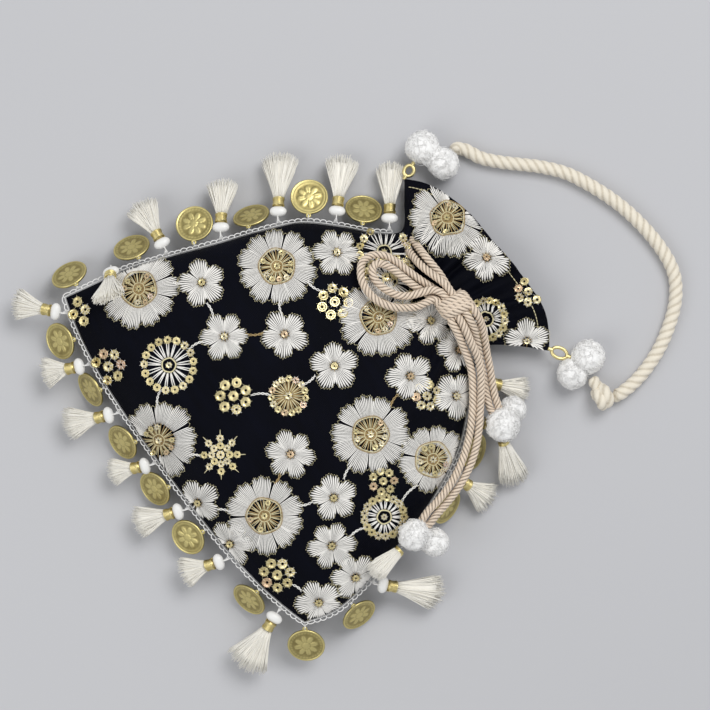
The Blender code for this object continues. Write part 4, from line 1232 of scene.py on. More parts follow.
@dataclass(frozen=True)
class Hang:
    """Where a pendant hangs, read from its node and its joint.

    Attributes:
        place: The pendant's own coordinates: X down it, Y across it, Z its thin way.
        reach: How far it goes along each of its own axes, as lowest and highest corner.
    """

    place: Matrix
    reach: tuple[Triple, Triple]

    @classmethod
    def of(cls, shop: Workshop, node: str) -> Hang:
        """Read a pendant's place.

        Args:
            shop: The workshop that holds the frame.
            node: The pendant's node.

        Returns:
            Its place.
        """
        joint = next(j for j in shop.frame["joints"] if j["child"] == f"{node}_body")
        pivot, axis = Vector(joint["pos_m"]), Vector(joint["axis"])
        data = shop.frame["nodes"][node].data
        total = sum(f.area for f in data.polygons)
        middle = sum((f.center * f.area for f in data.polygons), Vector()) / total
        along = (middle - pivot).normalized()
        across = (axis - along * axis.dot(along)).normalized()
        place = turned_to(along, across)
        place.translation = pivot
        local = np.array([place.inverted() @ v.co for v in data.vertices])
        return cls(place, (tuple(local.min(0)), tuple(local.max(0))))


@dataclass
class Tassels:
    """The seventeen trim tassels: thread loop, satin bead, gold wrap and cotton skirt."""

    count: int = 17
    loop: float = 0.0014
    bead: Triple = (0.0027, 0.0043, 0.0025)
    bead_place: float = 0.0041
    cap_start: float = 0.0066
    cap_length: float = 0.0047
    cap_radius: float = 0.0030
    skirt_thick: float = 0.0030

    def build(self, shop: Workshop) -> None:
        """Make every tassel on its own body.

        Args:
            shop: The workshop that finishes the pieces.
        """
        for number in range(1, self.count + 1):
            name = f"tassel_{number:02d}"
            hang = Hang.of(shop, name)
            body = f"{name}_body"
            root = self.cap_start + self.cap_length
            rng = np.random.default_rng(number)
            skirt = Bench()
            half_width = hang.reach[1][1]
            tip = hang.reach[1][0]
            Skirt(root - 0.0004, tip, 0.0023, half_width, self.skirt_thick).spread(skirt, rng)
            made = skirt.piece(f"{name}_skirt", place=hang.place)
            shop.dress(made, COTTON, body, stands_for=(name,))
            bead = Bench()
            self.shape_bead(bead)
            shop.dress(bead.piece(f"{name}_bead", place=hang.place), BEAD_SATIN, body)
            gold = Bench()
            wrap_rings(gold, self.cap_start, root, self.cap_radius, GOLD_WIRE, 7)
            shop.dress(gold.piece(f"{name}_wrap", place=hang.place), WRAP_GOLD, body)

    def shape_bead(self, bench: Bench) -> None:
        """Make the satin-covered bead that lies across the tassel, and the loop it is sewn on by."""
        long, across, high = self.bead
        turn = spaced(20)
        rings = []
        for k in range(1, 16):
            y = -math.cos(math.pi * k / 16.0)
            size = (1.0 - abs(y) ** 2.6) ** 0.55
            rib = 1.0 + 0.02 * np.cos(10.0 * turn)
            rings.append(
                np.stack(
                    [
                        self.bead_place + long * size * rib * np.cos(turn),
                        np.full(20, across * y),
                        -high * size * rib * np.sin(turn),
                    ],
                    1,
                )
            )
        bench.rows(np.array(rings), 0.9)
        spin = np.linspace(0.0, math.tau, 21)
        down, thin = 0.0002 + self.loop * np.cos(spin), 0.85 * self.loop * np.sin(spin)
        middle = np.stack([down, 0.0 * spin, thin], 1)
        bench.thread(middle, 0.0003, np.array((0.0, 1.0, 0.0)), 5, 0.8)


@dataclass
class Coins:
    """The sixteen stamped coins: raised rim, ring of beads, plain open flower, and an eyelet each."""

    count: int = 16
    radius: float = 0.0095
    half_thick: float = 0.0007
    eyelet: float = 0.0009
    eyelet_wire: float = 0.0005
    petals: int = 8
    beads: int = 30

    def relief(self, share: np.ndarray, turn: np.ndarray) -> np.ndarray:
        """Give the stamped height over a coin's face.

        Args:
            share: The distance from the middle, as a share of the radius.
            turn: The direction round the middle.

        Returns:
            The height, from 0 in the field to 1 at the rim.
        """
        rim = np.exp(-(((share - 0.945) / 0.045) ** 2))
        beading = 0.35 + 0.65 * np.cos(self.beads * turn / 2.0) ** 2
        ring = 0.8 * np.exp(-(((share - 0.80) / 0.035) ** 2)) * beading
        petal = np.abs(np.cos(self.petals * turn / 2.0)) ** 0.8
        inside = np.clip((0.30 + 0.36 * petal - share) / 0.05, 0.0, 1.0)
        vein = 1.0 - 0.45 * np.exp(-((np.sin(self.petals * turn / 2.0) / 0.16) ** 2)) * (share > 0.22)
        flower = 0.75 * inside * (0.55 + 0.45 * petal) * vein
        middle = 0.95 * np.clip((0.20 - share) / 0.04, 0.0, 1.0)
        moat = -0.3 * np.exp(-(((share - 0.235) / 0.03) ** 2))
        return np.maximum.reduce([rim, ring, flower + moat, middle])

    def build(self, shop: Workshop) -> None:
        """Stamp every coin, each turned its own way, and hang it on its body.

        Args:
            shop: The workshop that finishes the pieces.
        """
        for number in range(1, self.count + 1):
            name = f"coin_{number:02d}"
            bench = Bench()
            self.stamp(bench, number)
            made = bench.piece(f"{name}_stamping", place=Hang.of(shop, name).place)
            shop.dress(made, BRASS, f"{name}_body", stands_for=(name,))

    def stamp(self, bench: Bench, number: int) -> None:
        """Shape both faces, the edge and the eyelet, in the coin's own coordinates."""
        shares = np.concatenate([np.linspace(0.02, 0.88, 17), [0.91, 0.945, 0.975, 0.995]])
        turn = spaced(60)
        spin = turn + 0.5 * number
        grid_share, grid_turn = np.meshgrid(shares, spin, indexing="ij")
        height = self.relief(grid_share, grid_turn)
        base = 0.52 * self.half_thick
        lift = base + 0.48 * self.half_thick * height
        lift[-1] *= 0.55
        centre = self.radius + 0.6 * self.eyelet
        x = centre + self.radius * grid_share * np.cos(turn)
        y = self.radius * grid_share * np.sin(turn)
        top = np.stack([x, y, lift], -1)
        low = np.stack([x, y, -lift], -1)
        shade = np.clip(0.25 + 0.75 * height, 0.0, 1.0)
        bench.rows(np.concatenate([low, top[::-1]]), np.concatenate([shade, shade[::-1]]))
        around = np.linspace(0.0, math.tau, 25)
        ring = np.stack([self.eyelet * np.cos(around), self.eyelet * np.sin(around), 0.0 * around], 1)
        bench.thread(ring, self.eyelet_wire, UP, 8, 0.7)


@dataclass
class ClothForm:
    """The gathered pouch's surface, read across by u and from base to mouth by station.

    Attributes:
        stations: Left seam, right seam, seam height, front height and back height.
        pleats: Broad folds at the drawn neck.
        flutes: Broad waves along the frill.
        crimps: Fine gathers between the pleats: count across, depth and phase.
    """

    seam: float = 0.019
    belly: float = 0.046
    neck: float = 0.0245
    under: float = 0.0010
    base_bow: float = 0.011
    base_rows: float = 6.0
    mouth_bow: float = 0.014
    pleats: int = 8
    pleat_depth: float = 0.0014
    flutes: int = 4
    flute_depth: float = 0.0030
    flute_start: float = 10.0
    front_fullness: Pair = (2.4, 0.62)
    back_fullness: Pair = (7.0, 0.75)
    crimps: tuple[Triple, ...] = ((11.0, 0.0021, 0.4), (17.0, 0.0010, 2.1), (27.0, 0.0003, 4.0))
    crease_depth: float = 0.0011

    @property
    def stations(self) -> np.ndarray:
        """Give one row a station, from the base seam to the mouth."""
        s, b, n, w = self.seam, self.belly, self.neck, self.under
        return np.array(
            [
                (-0.1040, -0.0760, 0.0970, -0.0710, s, s, s),
                (-0.1015, -0.0620, 0.1008, -0.0560, s, 0.78 * b, 0.0),
                (-0.0980, -0.0430, 0.0995, -0.0400, s, 0.93 * b, 0.0),
                (-0.0910, -0.0220, 0.0955, -0.0230, s, b, 0.0),
                (-0.0830, 0.0000, 0.0890, 0.0000, s, b, 0.0),
                (-0.0755, 0.0220, 0.0805, 0.0220, s, 0.96 * b, 0.0),
                (-0.0675, 0.0410, 0.0700, 0.0410, 0.95 * s, 0.86 * b, 0.0),
                (-0.0550, 0.0560, 0.0570, 0.0560, 0.86 * s, 0.73 * b, 0.0),
                (-0.0430, 0.0680, 0.0445, 0.0690, 0.70 * s, 0.58 * b, 0.0004),
                (-0.0365, 0.0770, 0.0370, 0.0780, 0.60 * s, n, w),
                (-0.0365, 0.0830, 0.0370, 0.0840, 0.60 * s, n, w),
                (-0.0460, 0.0900, 0.0450, 0.0950, 0.57 * s, 0.86 * n, w),
                (-0.0560, 0.0970, 0.0565, 0.1070, 0.55 * s, 0.78 * n, w),
            ]
        )

    @property
    def last(self) -> float:
        """Give the mouth's place among the stations."""
        return len(self.stations) - 1.0

    def row(self, us: np.ndarray, t: float, front: bool) -> np.ndarray:
        """Give the outer cloth's points along one row.

        Args:
            us: Places across, from -1 at the left seam to 1 at the right.
            t: The row's place along the stations.
            front: Whether it is the front or the back sheet.

        Returns:
            One point for each place.
        """
        lx, ly, rx, ry, seam, crown, under = through(self.stations, np.array([t]))[0]
        under = max(under, 0.0)
        half = (us + 1.0) / 2.0
        x = lx + (rx - lx) * half
        y = ly + (ry - ly) * half
        y = y - self.base_bow * (1.0 - np.abs(us) ** 3) * max(0.0, 1.0 - t / self.base_rows) ** 2
        frill = ease((t - self.flute_start) / (self.last - self.flute_start))
        y = y + self.mouth_bow * (1.0 - us**4) * frill
        power, root = self.front_fullness if front else self.back_fullness
        rise = np.maximum(0.0, 1.0 - np.abs(us) ** power) ** root
        drawn = ease((t - 5.0) / 3.0) * (1.0 - ease((t - self.flute_start) / 2.0))
        fold = self.pleat_depth * drawn * np.sin(math.pi * self.pleats * (us + 1.0))
        wave = self.flute_depth * frill * np.sin(math.pi * self.flutes * (us + 1.0))
        goal = crown if front else under
        z = seam + (goal - seam) * rise
        z = z + (fold + wave if front else -0.5 * fold + 0.25 * wave)
        z = np.maximum(z, 0.0 if front else under)
        if front:
            z = z - self.creases(us, t, x, y)
        return np.stack([x, y, z], 1)

    def creases(self, us: np.ndarray, t: float, x: np.ndarray, y: np.ndarray) -> np.ndarray:
        """Give how far the front sinks in fine gathers and soft dents, never above the form.

        Args:
            us: Places across.
            t: The row's place along the stations.
            x: The row's places along the base's direction.
            y: Its places from base to mouth.

        Returns:
            One depth for each place.
        """
        middle = 1.0 - np.abs(us) ** 6
        near_neck = ease((t - 4.2) / 4.5) * (1.0 - 0.45 * ease((t - 10.2) / 2.0))
        depth = np.zeros(len(us))
        for count, deep, phase in self.crimps:
            sway = 0.5 * math.sin(0.9 * t + phase)
            depth += 0.5 * deep * near_neck * (1.0 - np.cos(math.pi * count * us + phase + sway))
        dents = np.array([noise.noise(Vector((a * 38.0, b * 30.0, 1.7))) for a, b in zip(x, y)])
        swell = np.array([noise.noise(Vector((a * 90.0, b * 70.0, 8.1))) for a, b in zip(x, y)])
        soft = ease(t / 1.5) * (self.crease_depth * (0.5 + dents) + 0.3 * self.crease_depth * (0.5 + swell))
        return (depth + np.clip(soft, 0.0, None)) * middle

    def seam_line(self, left_end: float = 8.9, right_end: float = 8.5, steps: int = 60) -> np.ndarray:
        """Give points along the trimmed seam, from the neck's left round the base to its right.

        Args:
            left_end: Where it starts on the left, by station.
            right_end: Where it ends on the right.
            steps: How many points each of its three runs has.

        Returns:
            One point a row.
        """
        edge = np.array([-1.0])
        left = [self.row(edge, left_end * (1.0 - k / steps), True)[0] for k in range(steps)]
        base = self.row(np.linspace(-1.0, 1.0, steps + 1)[:-1], 0.0, True)
        right = [self.row(-edge, right_end * k / steps, True)[0] for k in range(steps + 1)]
        return np.concatenate([left, base, right])


@dataclass
class Pouch:
    """The silk body: front and back sheets sewn along their seam, with a hem round the mouth."""

    form: ClothForm = field(default_factory=ClothForm)
    wall: float = 0.0011
    columns: int = 112
    row_step: float = 0.125
    stitch: float = 0.00022
    slots: tuple[Pair, ...] = ((-0.0226, 0.0802), (0.0250, 0.0802))
    slot_half: Pair = (0.0068, 0.0047)
    hem_place: float = 11.62
    hem_stitch: float = 0.0021
    flat: Pair = (0.225, 0.48)
    flat_area: float = 0.068

    def build(self, shop: Workshop) -> BVHTree:
        """Sew the body and run the gold stitch round its hem.

        Args:
            shop: The workshop that finishes the pieces.

        Returns:
            The outer cloth, for what lies on it.
        """
        body = self.sew()
        bpy.context.view_layer.update()
        cloth = BVHTree.FromObject(body, bpy.context.evaluated_depsgraph_get())
        self.cut_slots(body)
        self.thicken(body)
        shop.dress(body, SILK, stands_for=("pouch",))
        self.stitch_hem(shop)
        return cloth

    def sew(self) -> bpy.types.Object:
        """Join the two sheets along their seam.

        Returns:
            The body, still without thickness.
        """
        turns = np.arange(self.columns + 1) / self.columns
        spread = 0.5 * turns + 0.5 * np.arccos(1.0 - 2.0 * turns) / math.pi
        us = -np.cos(math.pi * spread)
        rows = np.arange(0.0, self.form.last + 0.01, self.row_step)
        front = np.array([self.form.row(us, float(t), True) for t in rows])
        back = np.array([self.form.row(us, float(t), False) for t in rows])
        shape = bmesh.new()
        tops = [[shape.verts.new(p) for p in row] for row in front]
        lows = [tops[0]]
        for row, shared in zip(back[1:], tops[1:]):
            lows.append([shared[0], *(shape.verts.new(p) for p in row[1:-1]), shared[-1]])
        for sheet, facing in ((tops, 1), (lows, -1)):
            for low, high in zip(sheet, sheet[1:]):
                for k in range(self.columns):
                    shape.faces.new([low[k], low[k + 1], high[k + 1], high[k]][::facing])
        data = bpy.data.meshes.new("pouch_cloth")
        shape.to_mesh(data)
        shape.free()
        data.shade_smooth()
        body = bpy.data.objects.new("pouch_cloth", data)
        bpy.context.scene.collection.objects.link(body)
        return body

    def cut_slots(self, body: bpy.types.Object) -> None:
        """Open the two rounded slots in the front of the neck that the drawcords leave by.

        Args:
            body: The sewn cloth, still without thickness.
        """
        shape = bmesh.new()
        shape.from_mesh(body.data)
        half_x, half_y = self.slot_half
        for x, y in self.slots:

            def reach(place: Vector) -> float:
                """Give how far a place lies from the slot's middle, where 1 is its edge."""
                return math.hypot((place.x - x) / half_x, (place.y - y) / half_y)

            upper = (f for f in shape.faces if f.normal.z > 0.0)
            opened = [f for f in upper if reach(f.calc_center_median()) < 1.0]
            bmesh.ops.delete(shape, geom=opened, context="FACES")
            for corner in shape.verts:
                near = reach(corner.co)
                if corner.is_boundary and 0.5 < near < 1.4 and corner.co.z > self.form.seam * 0.6:
                    corner.co.x = x + (corner.co.x - x) / near
                    corner.co.y = y + (corner.co.y - y) / near
        shape.to_mesh(body.data)
        shape.free()

    def thicken(self, body: bpy.types.Object) -> None:
        """Give the cloth its thickness, inwards."""
        wall = body.modifiers.new("cloth_thickness", "SOLIDIFY")
        wall.thickness = self.wall
        wall.offset = -1.0
        bpy.context.view_layer.update()
        finished = body.evaluated_get(bpy.context.evaluated_depsgraph_get())
        thick = bpy.data.meshes.new_from_object(finished)
        body.modifiers.clear()
        body.data = thick

    def stitch_hem(self, shop: Workshop) -> None:
        """Run short gold stitches along the front and back of the hem.

        Args:
            shop: The workshop that finishes the stitches.
        """
        bench = Bench()
        for front, lift in ((True, 1.0), (False, -1.0)):
            line = self.form.row(np.linspace(-0.97, 0.97, 400), self.hem_place, front)
            reach = distances(line)
            starts = np.arange(0.0, reach[-1] - self.hem_stitch, self.hem_stitch)
            share = np.array([0.02, 0.2, 0.45, 0.7, 0.78])
            places = starts[:, None] + self.hem_stitch * share
            middles = read_line(line, reach, places)
            middles[..., 2] += lift * 0.00018 * np.sin(math.pi * (share - 0.02) / 0.76)
            if not front:
                middles[..., 2] = np.maximum(middles[..., 2], 0.0003)
            bench.strands(middles, self.stitch, self.stitch, UP, 5, 0.8)
        shop.dress(bench.piece("hem_stitches"), PALE_GOLD)


@dataclass
class Lace:
    """Cotton picot edging along the seam, and the thread loops that hold every pendant to it.

    Attributes:
        form: The cloth it is sewn to.
        inner: Where the edging starts, out from the seam.
        outer: Where its picots end.
        pitch: From one picot to the next.
        thread: Half the thickness of its thread.
        sink: How far it lies under the seam's level.
        look: How far ahead and behind the seam's direction is read.
        twist: One turn of the two twisted threads.
        twist_step: From one ring of a twisted thread to the next.
        loop_middle: How far a loop's middle is from the pivot.
        loop_half: Half a loop's length and height.
        loop_wire: Half the thickness of a loop's thread.
        coin_loops: Where the loops of a coin sit along its eye.
        tassel_loops: The same for a tassel.
    """

    form: ClothForm = field(default_factory=ClothForm)
    inner: float = 0.0006
    outer: float = 0.0027
    pitch: float = 0.0031
    thread: float = 0.00032
    sink: float = 0.0004
    look: float = 0.004
    twist: float = 0.0016
    twist_step: float = 0.0004
    loop_middle: float = 0.0011
    loop_half: Pair = (0.0014, 0.0008)
    loop_wire: float = 0.00017
    coin_loops: tuple[float, ...] = (-0.0002, 0.0002)
    tassel_loops: tuple[float, ...] = (-0.0007, -0.0003, 0.0001, 0.0006)

    def build(self, shop: Workshop) -> None:
        """Twist the edging and sew on the pendants.

        Args:
            shop: The workshop that finishes the pieces.
        """
        line = self.form.seam_line()
        reach = distances(line)
        length = float(reach[-1])

        def at(places: np.ndarray) -> tuple[np.ndarray, np.ndarray]:
            """Give the seam's points and outward directions at distances along it."""
            point = read_line(line, reach, places)
            ahead = read_line(line, reach, places + self.look)
            run = ahead - read_line(line, reach, places - self.look)
            return point, unit(np.stack([run[..., 1], -run[..., 0], 0.0 * run[..., 0]], -1))

        bench = Bench()
        places = np.arange(0.0, length, self.twist_step)
        for phase in (0.0, math.pi):
            point, out = at(places)
            swing = math.tau * places / self.twist + phase
            offset = self.inner + 0.0002 + 0.0001 * np.cos(swing)
            rise = (0.0001 * np.sin(swing) - self.sink)[:, None]
            middle = point + out * offset[:, None] + UP * rise
            bench.thread(middle, 0.55 * self.thread, UP, 4, 0.8)
        starts = np.arange(0.5 * self.pitch, length - 0.5 * self.pitch, self.pitch)
        turn = np.linspace(-0.15, 1.15, 9) * math.pi
        along = 0.52 * self.pitch * np.cos(turn)
        away = (self.outer - self.inner - 0.0009) * np.sin(turn)
        point, out = at(starts[:, None] + along[None])
        full = 0.86 + 0.14 * np.sin(9.0 * np.arange(len(starts)) ** 1.3)[:, None]
        wobble = 0.0003 * np.sin(1.7 * np.arange(len(starts)))[:, None] - self.sink
        middles = point + out * (self.inner + 0.0007 + full * away[None])[..., None]
        middles = middles + UP * (wobble + 0.0002 * np.cos(turn)[None])[..., None]
        bench.strands(middles, self.thread, self.thread, UP, 4, 0.95)
        shop.dress(bench.piece("picot_edging"), WHITE_LACE, stands_for=("edge_lace",))
        self.sew_on(shop)

    def sew_on(self, shop: Workshop) -> None:
        """Loop a thread from the edging through each pendant's eye."""
        bench = Bench()
        turn = np.linspace(0.0, math.tau, 17)
        for joint in shop.frame["joints"]:
            pivot = np.array(joint["pos_m"], float)
            axis = unit(np.array(joint["axis"], float))
            out = np.cross(axis, (0.0, 0.0, 1.0))
            seam_side = out if out @ (pivot - np.array((0.0, 0.0, pivot[2]))) < 0 else -out
            centre = pivot + seam_side * self.loop_middle
            for shift in self.coin_loops if joint["child"].startswith("coin") else self.tassel_loops:
                ring = (
                    centre
                    + axis * shift * (1.0 + 0.7 * np.cos(turn))[:, None]
                    + np.cos(turn)[:, None] * seam_side * self.loop_half[0]
                    + np.sin(turn)[:, None] * np.array((0.0, 0.0, self.loop_half[1]))
                )
                bench.thread(ring, self.loop_wire, axis, 4, 0.9)
        shop.dress(bench.piece("sewing_loops"), WHITE_LACE)


@dataclass(frozen=True)
class Motif:
    """One embroidered motif, by the middle of its place in plan.

    Attributes:
        kind: What it is.
        x: Its place along the base's direction, in metres.
        y: Its place from base to mouth, in metres.
        size: Its radius.
        turn: How far it is turned, in radians.
    """

    kind: Kind
    x: float
    y: float
    size: float
    turn: float = 0.0

    def at(self, away: float, angle: float) -> Pair:
        """Give the place at a distance and direction from the middle."""
        return self.x + away * math.cos(angle), self.y + away * math.sin(angle)


@dataclass
class Embroidery:
    """Satin-stitch flowers, sequin rosettes and wheels, and the bars of thread that join them.

    Every part is first laid flat, with its height over the cloth, and then pressed onto the cloth.
    """

    cloth: BVHTree
    daisies: tuple[Triple, ...] = (
        (-0.0554, 0.0193, 0.1), (-0.0857, -0.0431, 0.4), (-0.0063, 0.0459, 0.9), (0.0385, 0.0097, 0.25),
        (0.0415, -0.0558, 0.7), (-0.0189, -0.0776, 0.5), (0.0664, 0.0276, 1.1), (-0.0272, 0.1032, 0.3),
    )
    flowers: tuple[Triple, ...] = (
        (-0.0701, -0.0156, 0.3), (-0.0418, -0.0214, 1.0), (-0.0257, 0.0034, 0.6), (0.0010, 0.0145, 0.1),
        (0.0239, -0.0277, 0.8), (0.0536, -0.0228, 0.2), (0.0727, -0.0374, 1.1), (0.0927, -0.0593, 0.5),
        (0.0928, -0.0374, 0.9), (0.0263, 0.0420, 0.4), (0.0477, 0.0551, 0.7), (0.0098, 0.0663, 1.2),
        (0.0300, 0.0699, 0.2), (-0.0442, 0.0474, 0.9), (0.0178, -0.0801, 0.4), (0.0437, -0.0788, 1.0),
        (0.0004, 0.1077, 0.5), (0.0461, 0.1007, 0.1),
    )
    rosettes: tuple[Triple, ...] = (
        (-0.0634, -0.0776, 0.2), (-0.0154, -0.0343, 0.5), (-0.0248, 0.0326, 0.0), (0.0695, -0.0681, 0.3),
        (0.0392, 0.0432, 0.6), (0.0610, 0.0016, 0.1), (-0.0950, -0.0774, 0.4), (0.0262, 0.1152, 0.2),
    )
    wheels: tuple[Triple, ...] = (
        (-0.0461, -0.0519, 0.0), (-0.0180, 0.0610, 0.4), (-0.0312, 0.0670, 0.9), (0.0759, -0.0082, 0.2),
        (0.0252, 0.0900, 0.5),
    )
    joins: tuple[Pair, ...] = (
        (-0.0779, -0.026), (-0.057, -0.0205), (-0.0379, 0.0095), (-0.0345, -0.0075), (-0.0468, -0.0337),
        (-0.0348, -0.0671), (-0.0078, -0.0226), (-0.0009, 0.0031), (-0.0377, 0.0289), (-0.0026, -0.0683),
        (0.0307, -0.0416), (0.0275, -0.0723), (0.0476, -0.0357), (0.048, -0.0116), (0.0812, -0.0635),
        (0.0829, -0.0342), (0.096, -0.0476), (0.032, 0.0283), (0.0747, 0.01), (0.0745, -0.0234),
    )
    crowded: tuple[Triple, ...] = (
        (0.0610, 0.0016, 0.0078), (0.0759, -0.0082, 0.0122), (0.0392, 0.0432, 0.0084),
        (0.0664, 0.0276, 0.0172), (0.0252, 0.0900, 0.0118), (0.0262, 0.1152, 0.0082),
    )
    medallion: Pair = (0.0, -0.0122)
    star: Pair = (0.0046, -0.0562)
    daisy_size: float = 0.0200
    flower_size: float = 0.0122
    rosette_size: float = 0.0100
    wheel_size: float = 0.0148
    star_size: float = 0.0120
    disc: float = 0.0090
    frill_start: float = 0.0865
    lift: float = 0.00015
    stitch_high: float = 0.00045
    cup: tuple[Pair, ...] = (
        (0.26, 0.00), (0.34, -0.10), (0.62, 0.00), (0.86, 0.16), (1.00, 0.10), (0.84, 0.02), (0.60, -0.12),
    )
    edge_bow: float = 0.00045

    def __post_init__(self) -> None:
        """Gather the motifs and start one bench for each thread and field."""
        sizes = {
            Kind.DAISY: self.daisy_size,
            Kind.FLOWER: self.flower_size,
            Kind.ROSETTE: self.rosette_size,
            Kind.WHEEL: self.wheel_size,
        }
        listed = (
            (Kind.DAISY, self.daisies), (Kind.FLOWER, self.flowers), (Kind.ROSETTE, self.rosettes),
            (Kind.WHEEL, self.wheels),
        )
        tight = {(x, y): size for x, y, size in self.crowded}
        self.motifs = [
            Motif(kind, x, y, tight.get((x, y), sizes[kind]), turn)
            for kind, rows in listed
            for x, y, turn in rows
        ]
        self.motifs.append(Motif(Kind.MEDALLION, *self.medallion, self.rosette_size))
        self.motifs.append(Motif(Kind.STAR, *self.star, self.star_size))
        self.rng = np.random.default_rng(11)
        finishes = (IVORY, PALE_GOLD, BROWN_GOLD, SEQUIN_GOLD, SEQUIN_ROSE)
        self.benches = {(zone, finish): Bench() for zone in Zone for finish in finishes}
        self.zone = Zone.FRONT

    def build(self, shop: Workshop) -> None:
        """Stitch every motif and bar, and press them onto the cloth.

        Args:
            shop: The workshop that finishes the pieces.
        """
        makers = {
            Kind.DAISY: self.daisy,
            Kind.FLOWER: self.flower,
            Kind.ROSETTE: self.rosette,
            Kind.WHEEL: self.wheel,
            Kind.MEDALLION: self.gold_medallion,
            Kind.STAR: self.starburst,
        }
        for motif in self.motifs:
            self.zone = Zone.FRILL if motif.y > self.frill_start else Zone.FRONT
            makers[motif.kind](motif)
        self.bars()
        for (zone, finish), bench in self.benches.items():
            if bench.total:
                made = bench.piece(f"{zone.value}_{finish.name}")
                stands = (zone.value,) if finish is IVORY else ()
                shop.dress(made, finish, stands_for=stands)

    def height(self, x: float, y: float) -> tuple[float, Vector] | None:
        """Give the cloth's height and facing under a point in plan, or nothing off the cloth."""
        hit, normal, _, _ = self.cloth.ray_cast(Vector((x, y, 0.2)), Vector((0.0, 0.0, -1.0)))
        return None if hit is None or abs(normal.z) < 0.06 else (hit.z, normal if normal.z > 0 else -normal)

    def press(self, flat: np.ndarray) -> np.ndarray:
        """Press flat points, with their height over the cloth as z, onto the cloth.

        Args:
            flat: Points, in any shape that ends in three.

        Returns:
            The same points on the cloth.
        """
        points = flat.reshape(-1, 3).copy()
        for index, (x, y, rise) in enumerate(points):
            found = self.height(x, y)
            if found is None:
                found = self.height(x * 0.96, y * 0.96 + 0.0008) or (0.019, Vector((0.0, 0.0, 1.0)))
            z, normal = found
            points[index] = (x + normal.x * rise, y + normal.y * rise, z + normal.z * rise)
        return points.reshape(flat.shape)

    def trimmed(self, middles: np.ndarray) -> np.ndarray:
        """Cut strands short where the seam takes them, and drop those that start beyond it.

        Args:
            middles: Flat middle lines, as strand by ring by coordinate.

        Returns:
            The strands that stay.
        """
        kept = []
        for line in middles:
            if self.height(line[0, 0], line[0, 1]) is None:
                continue
            share = 1.0
            while share > 0.25:
                tip = line[0] + (line[-1] - line[0]) * share
                if self.height(tip[0], tip[1]) is not None:
                    break
                share -= 0.12
            if share <= 0.25:
                continue
            scaled = line.copy()
            scaled[:, :2] = line[0, :2] + (line[:, :2] - line[0, :2]) * share
            kept.append(scaled)
        return np.array(kept)

    def sew(
        self,
        finish: Finish,
        middles: np.ndarray,
        wide: float,
        high: float,
        shade: float = 0.75,
        root: float = 0.6,
    ) -> None:
        """Lay flat strands in the current field.

        Args:
            finish: Their thread.
            middles: Flat middle lines with their height over the cloth.
            wide: Half width.
            high: Half height.
            shade: Their middle tone.
            root: The share of their width at the end that they start from.
        """
        middles = self.trimmed(middles)
        if not len(middles):
            return
        count, rings = middles.shape[:2]
        widest = 0.3 if root >= 0.6 else 0.8
        taper = np.interp(np.linspace(0.0, 1.0, rings), (0.0, widest, 1.0), (root, 1.0, 0.55))
        tone = np.clip(shade + self.rng.uniform(-0.32, 0.28, count), 0.0, 1.0)
        bench = self.benches[self.zone, finish]
        bench.strands(self.press(middles), wide * taper, high * taper, UP, 4, tone)

    def fan(
        self,
        motif: Motif,
        petals: int,
        stitches: int,
        root: float,
        notch: float,
        scallop: float,
        dome: float,
    ) -> None:
        """Fill a round of petals with radiating satin stitches and edge them with gold.

        Args:
            motif: The flower.
            petals: How many petals it has.
            stitches: Stitches in each petal.
            root: Where the stitches start, as a share of the radius.
            notch: How far the edge draws in between petals, as a share of the radius.
            scallop: How deep the small lobes of a petal's tip are, as a share of the radius.
            dome: How high a petal's middle stands over its sides.
        """
        share = np.linspace(0.0, 1.0, 7)
        lines = []
        edge = []
        for petal in range(petals):
            middle = motif.turn + math.tau * petal / petals + self.rng.uniform(-0.04, 0.04)
            reach = motif.size * self.rng.uniform(0.95, 1.03)
            for place in np.linspace(-1.0 + 1.0 / stitches, 1.0 - 1.0 / stitches, stitches):
                lobe = scallop * (0.5 - 0.5 * math.cos(3.0 * math.pi * place))
                tip = reach * (1.0 - notch * abs(place) ** 2.6 - lobe)
                spread = math.pi / petals * place
                angle = middle + spread * (1.0 - 0.05 * share**2)
                start = root * motif.size * self.rng.uniform(0.92, 1.05)
                away = start + (tip * self.rng.uniform(0.975, 1.01) - start) * share
                swell = np.sin(math.pi * (0.15 + 0.75 * share))
                rise = self.lift + 0.0003 + dome * (1.0 - place**2) * swell
                x, y = motif.x + away * np.cos(angle), motif.y + away * np.sin(angle)
                lines.append(np.stack([x, y, rise], 1))
                edge.append((tip + 0.00035, middle + spread * 0.93))
        wide = 0.98 * math.pi * motif.size * 0.8 / (petals * stitches)
        self.sew(IVORY, np.array(lines), wide, self.stitch_high, 0.72, 1.15 * root)
        self.edging(motif, edge)

    def edging(self, motif: Motif, edge: list[tuple[float, float]]) -> None:
        """Run a fine gold thread in small loops along a flower's edge.

        Args:
            motif: The flower.
            edge: Distances and directions of the stitches' tips.
        """
        lines = []
        for (near, first), (far, second) in zip(edge, edge[1:] + edge[:1]):
            if abs(second - first) > 0.5:
                continue
            crest = (0.5 * (near + far) + self.edge_bow, 0.5 * (first + second))
            stops = ((near - 0.0004, first), crest, (far - 0.0004, second))
            lines.append([(*motif.at(*stop), self.lift + 0.0003) for stop in stops])
        self.sew(PALE_GOLD, np.array(lines), 0.00013, 0.00013, 0.9)

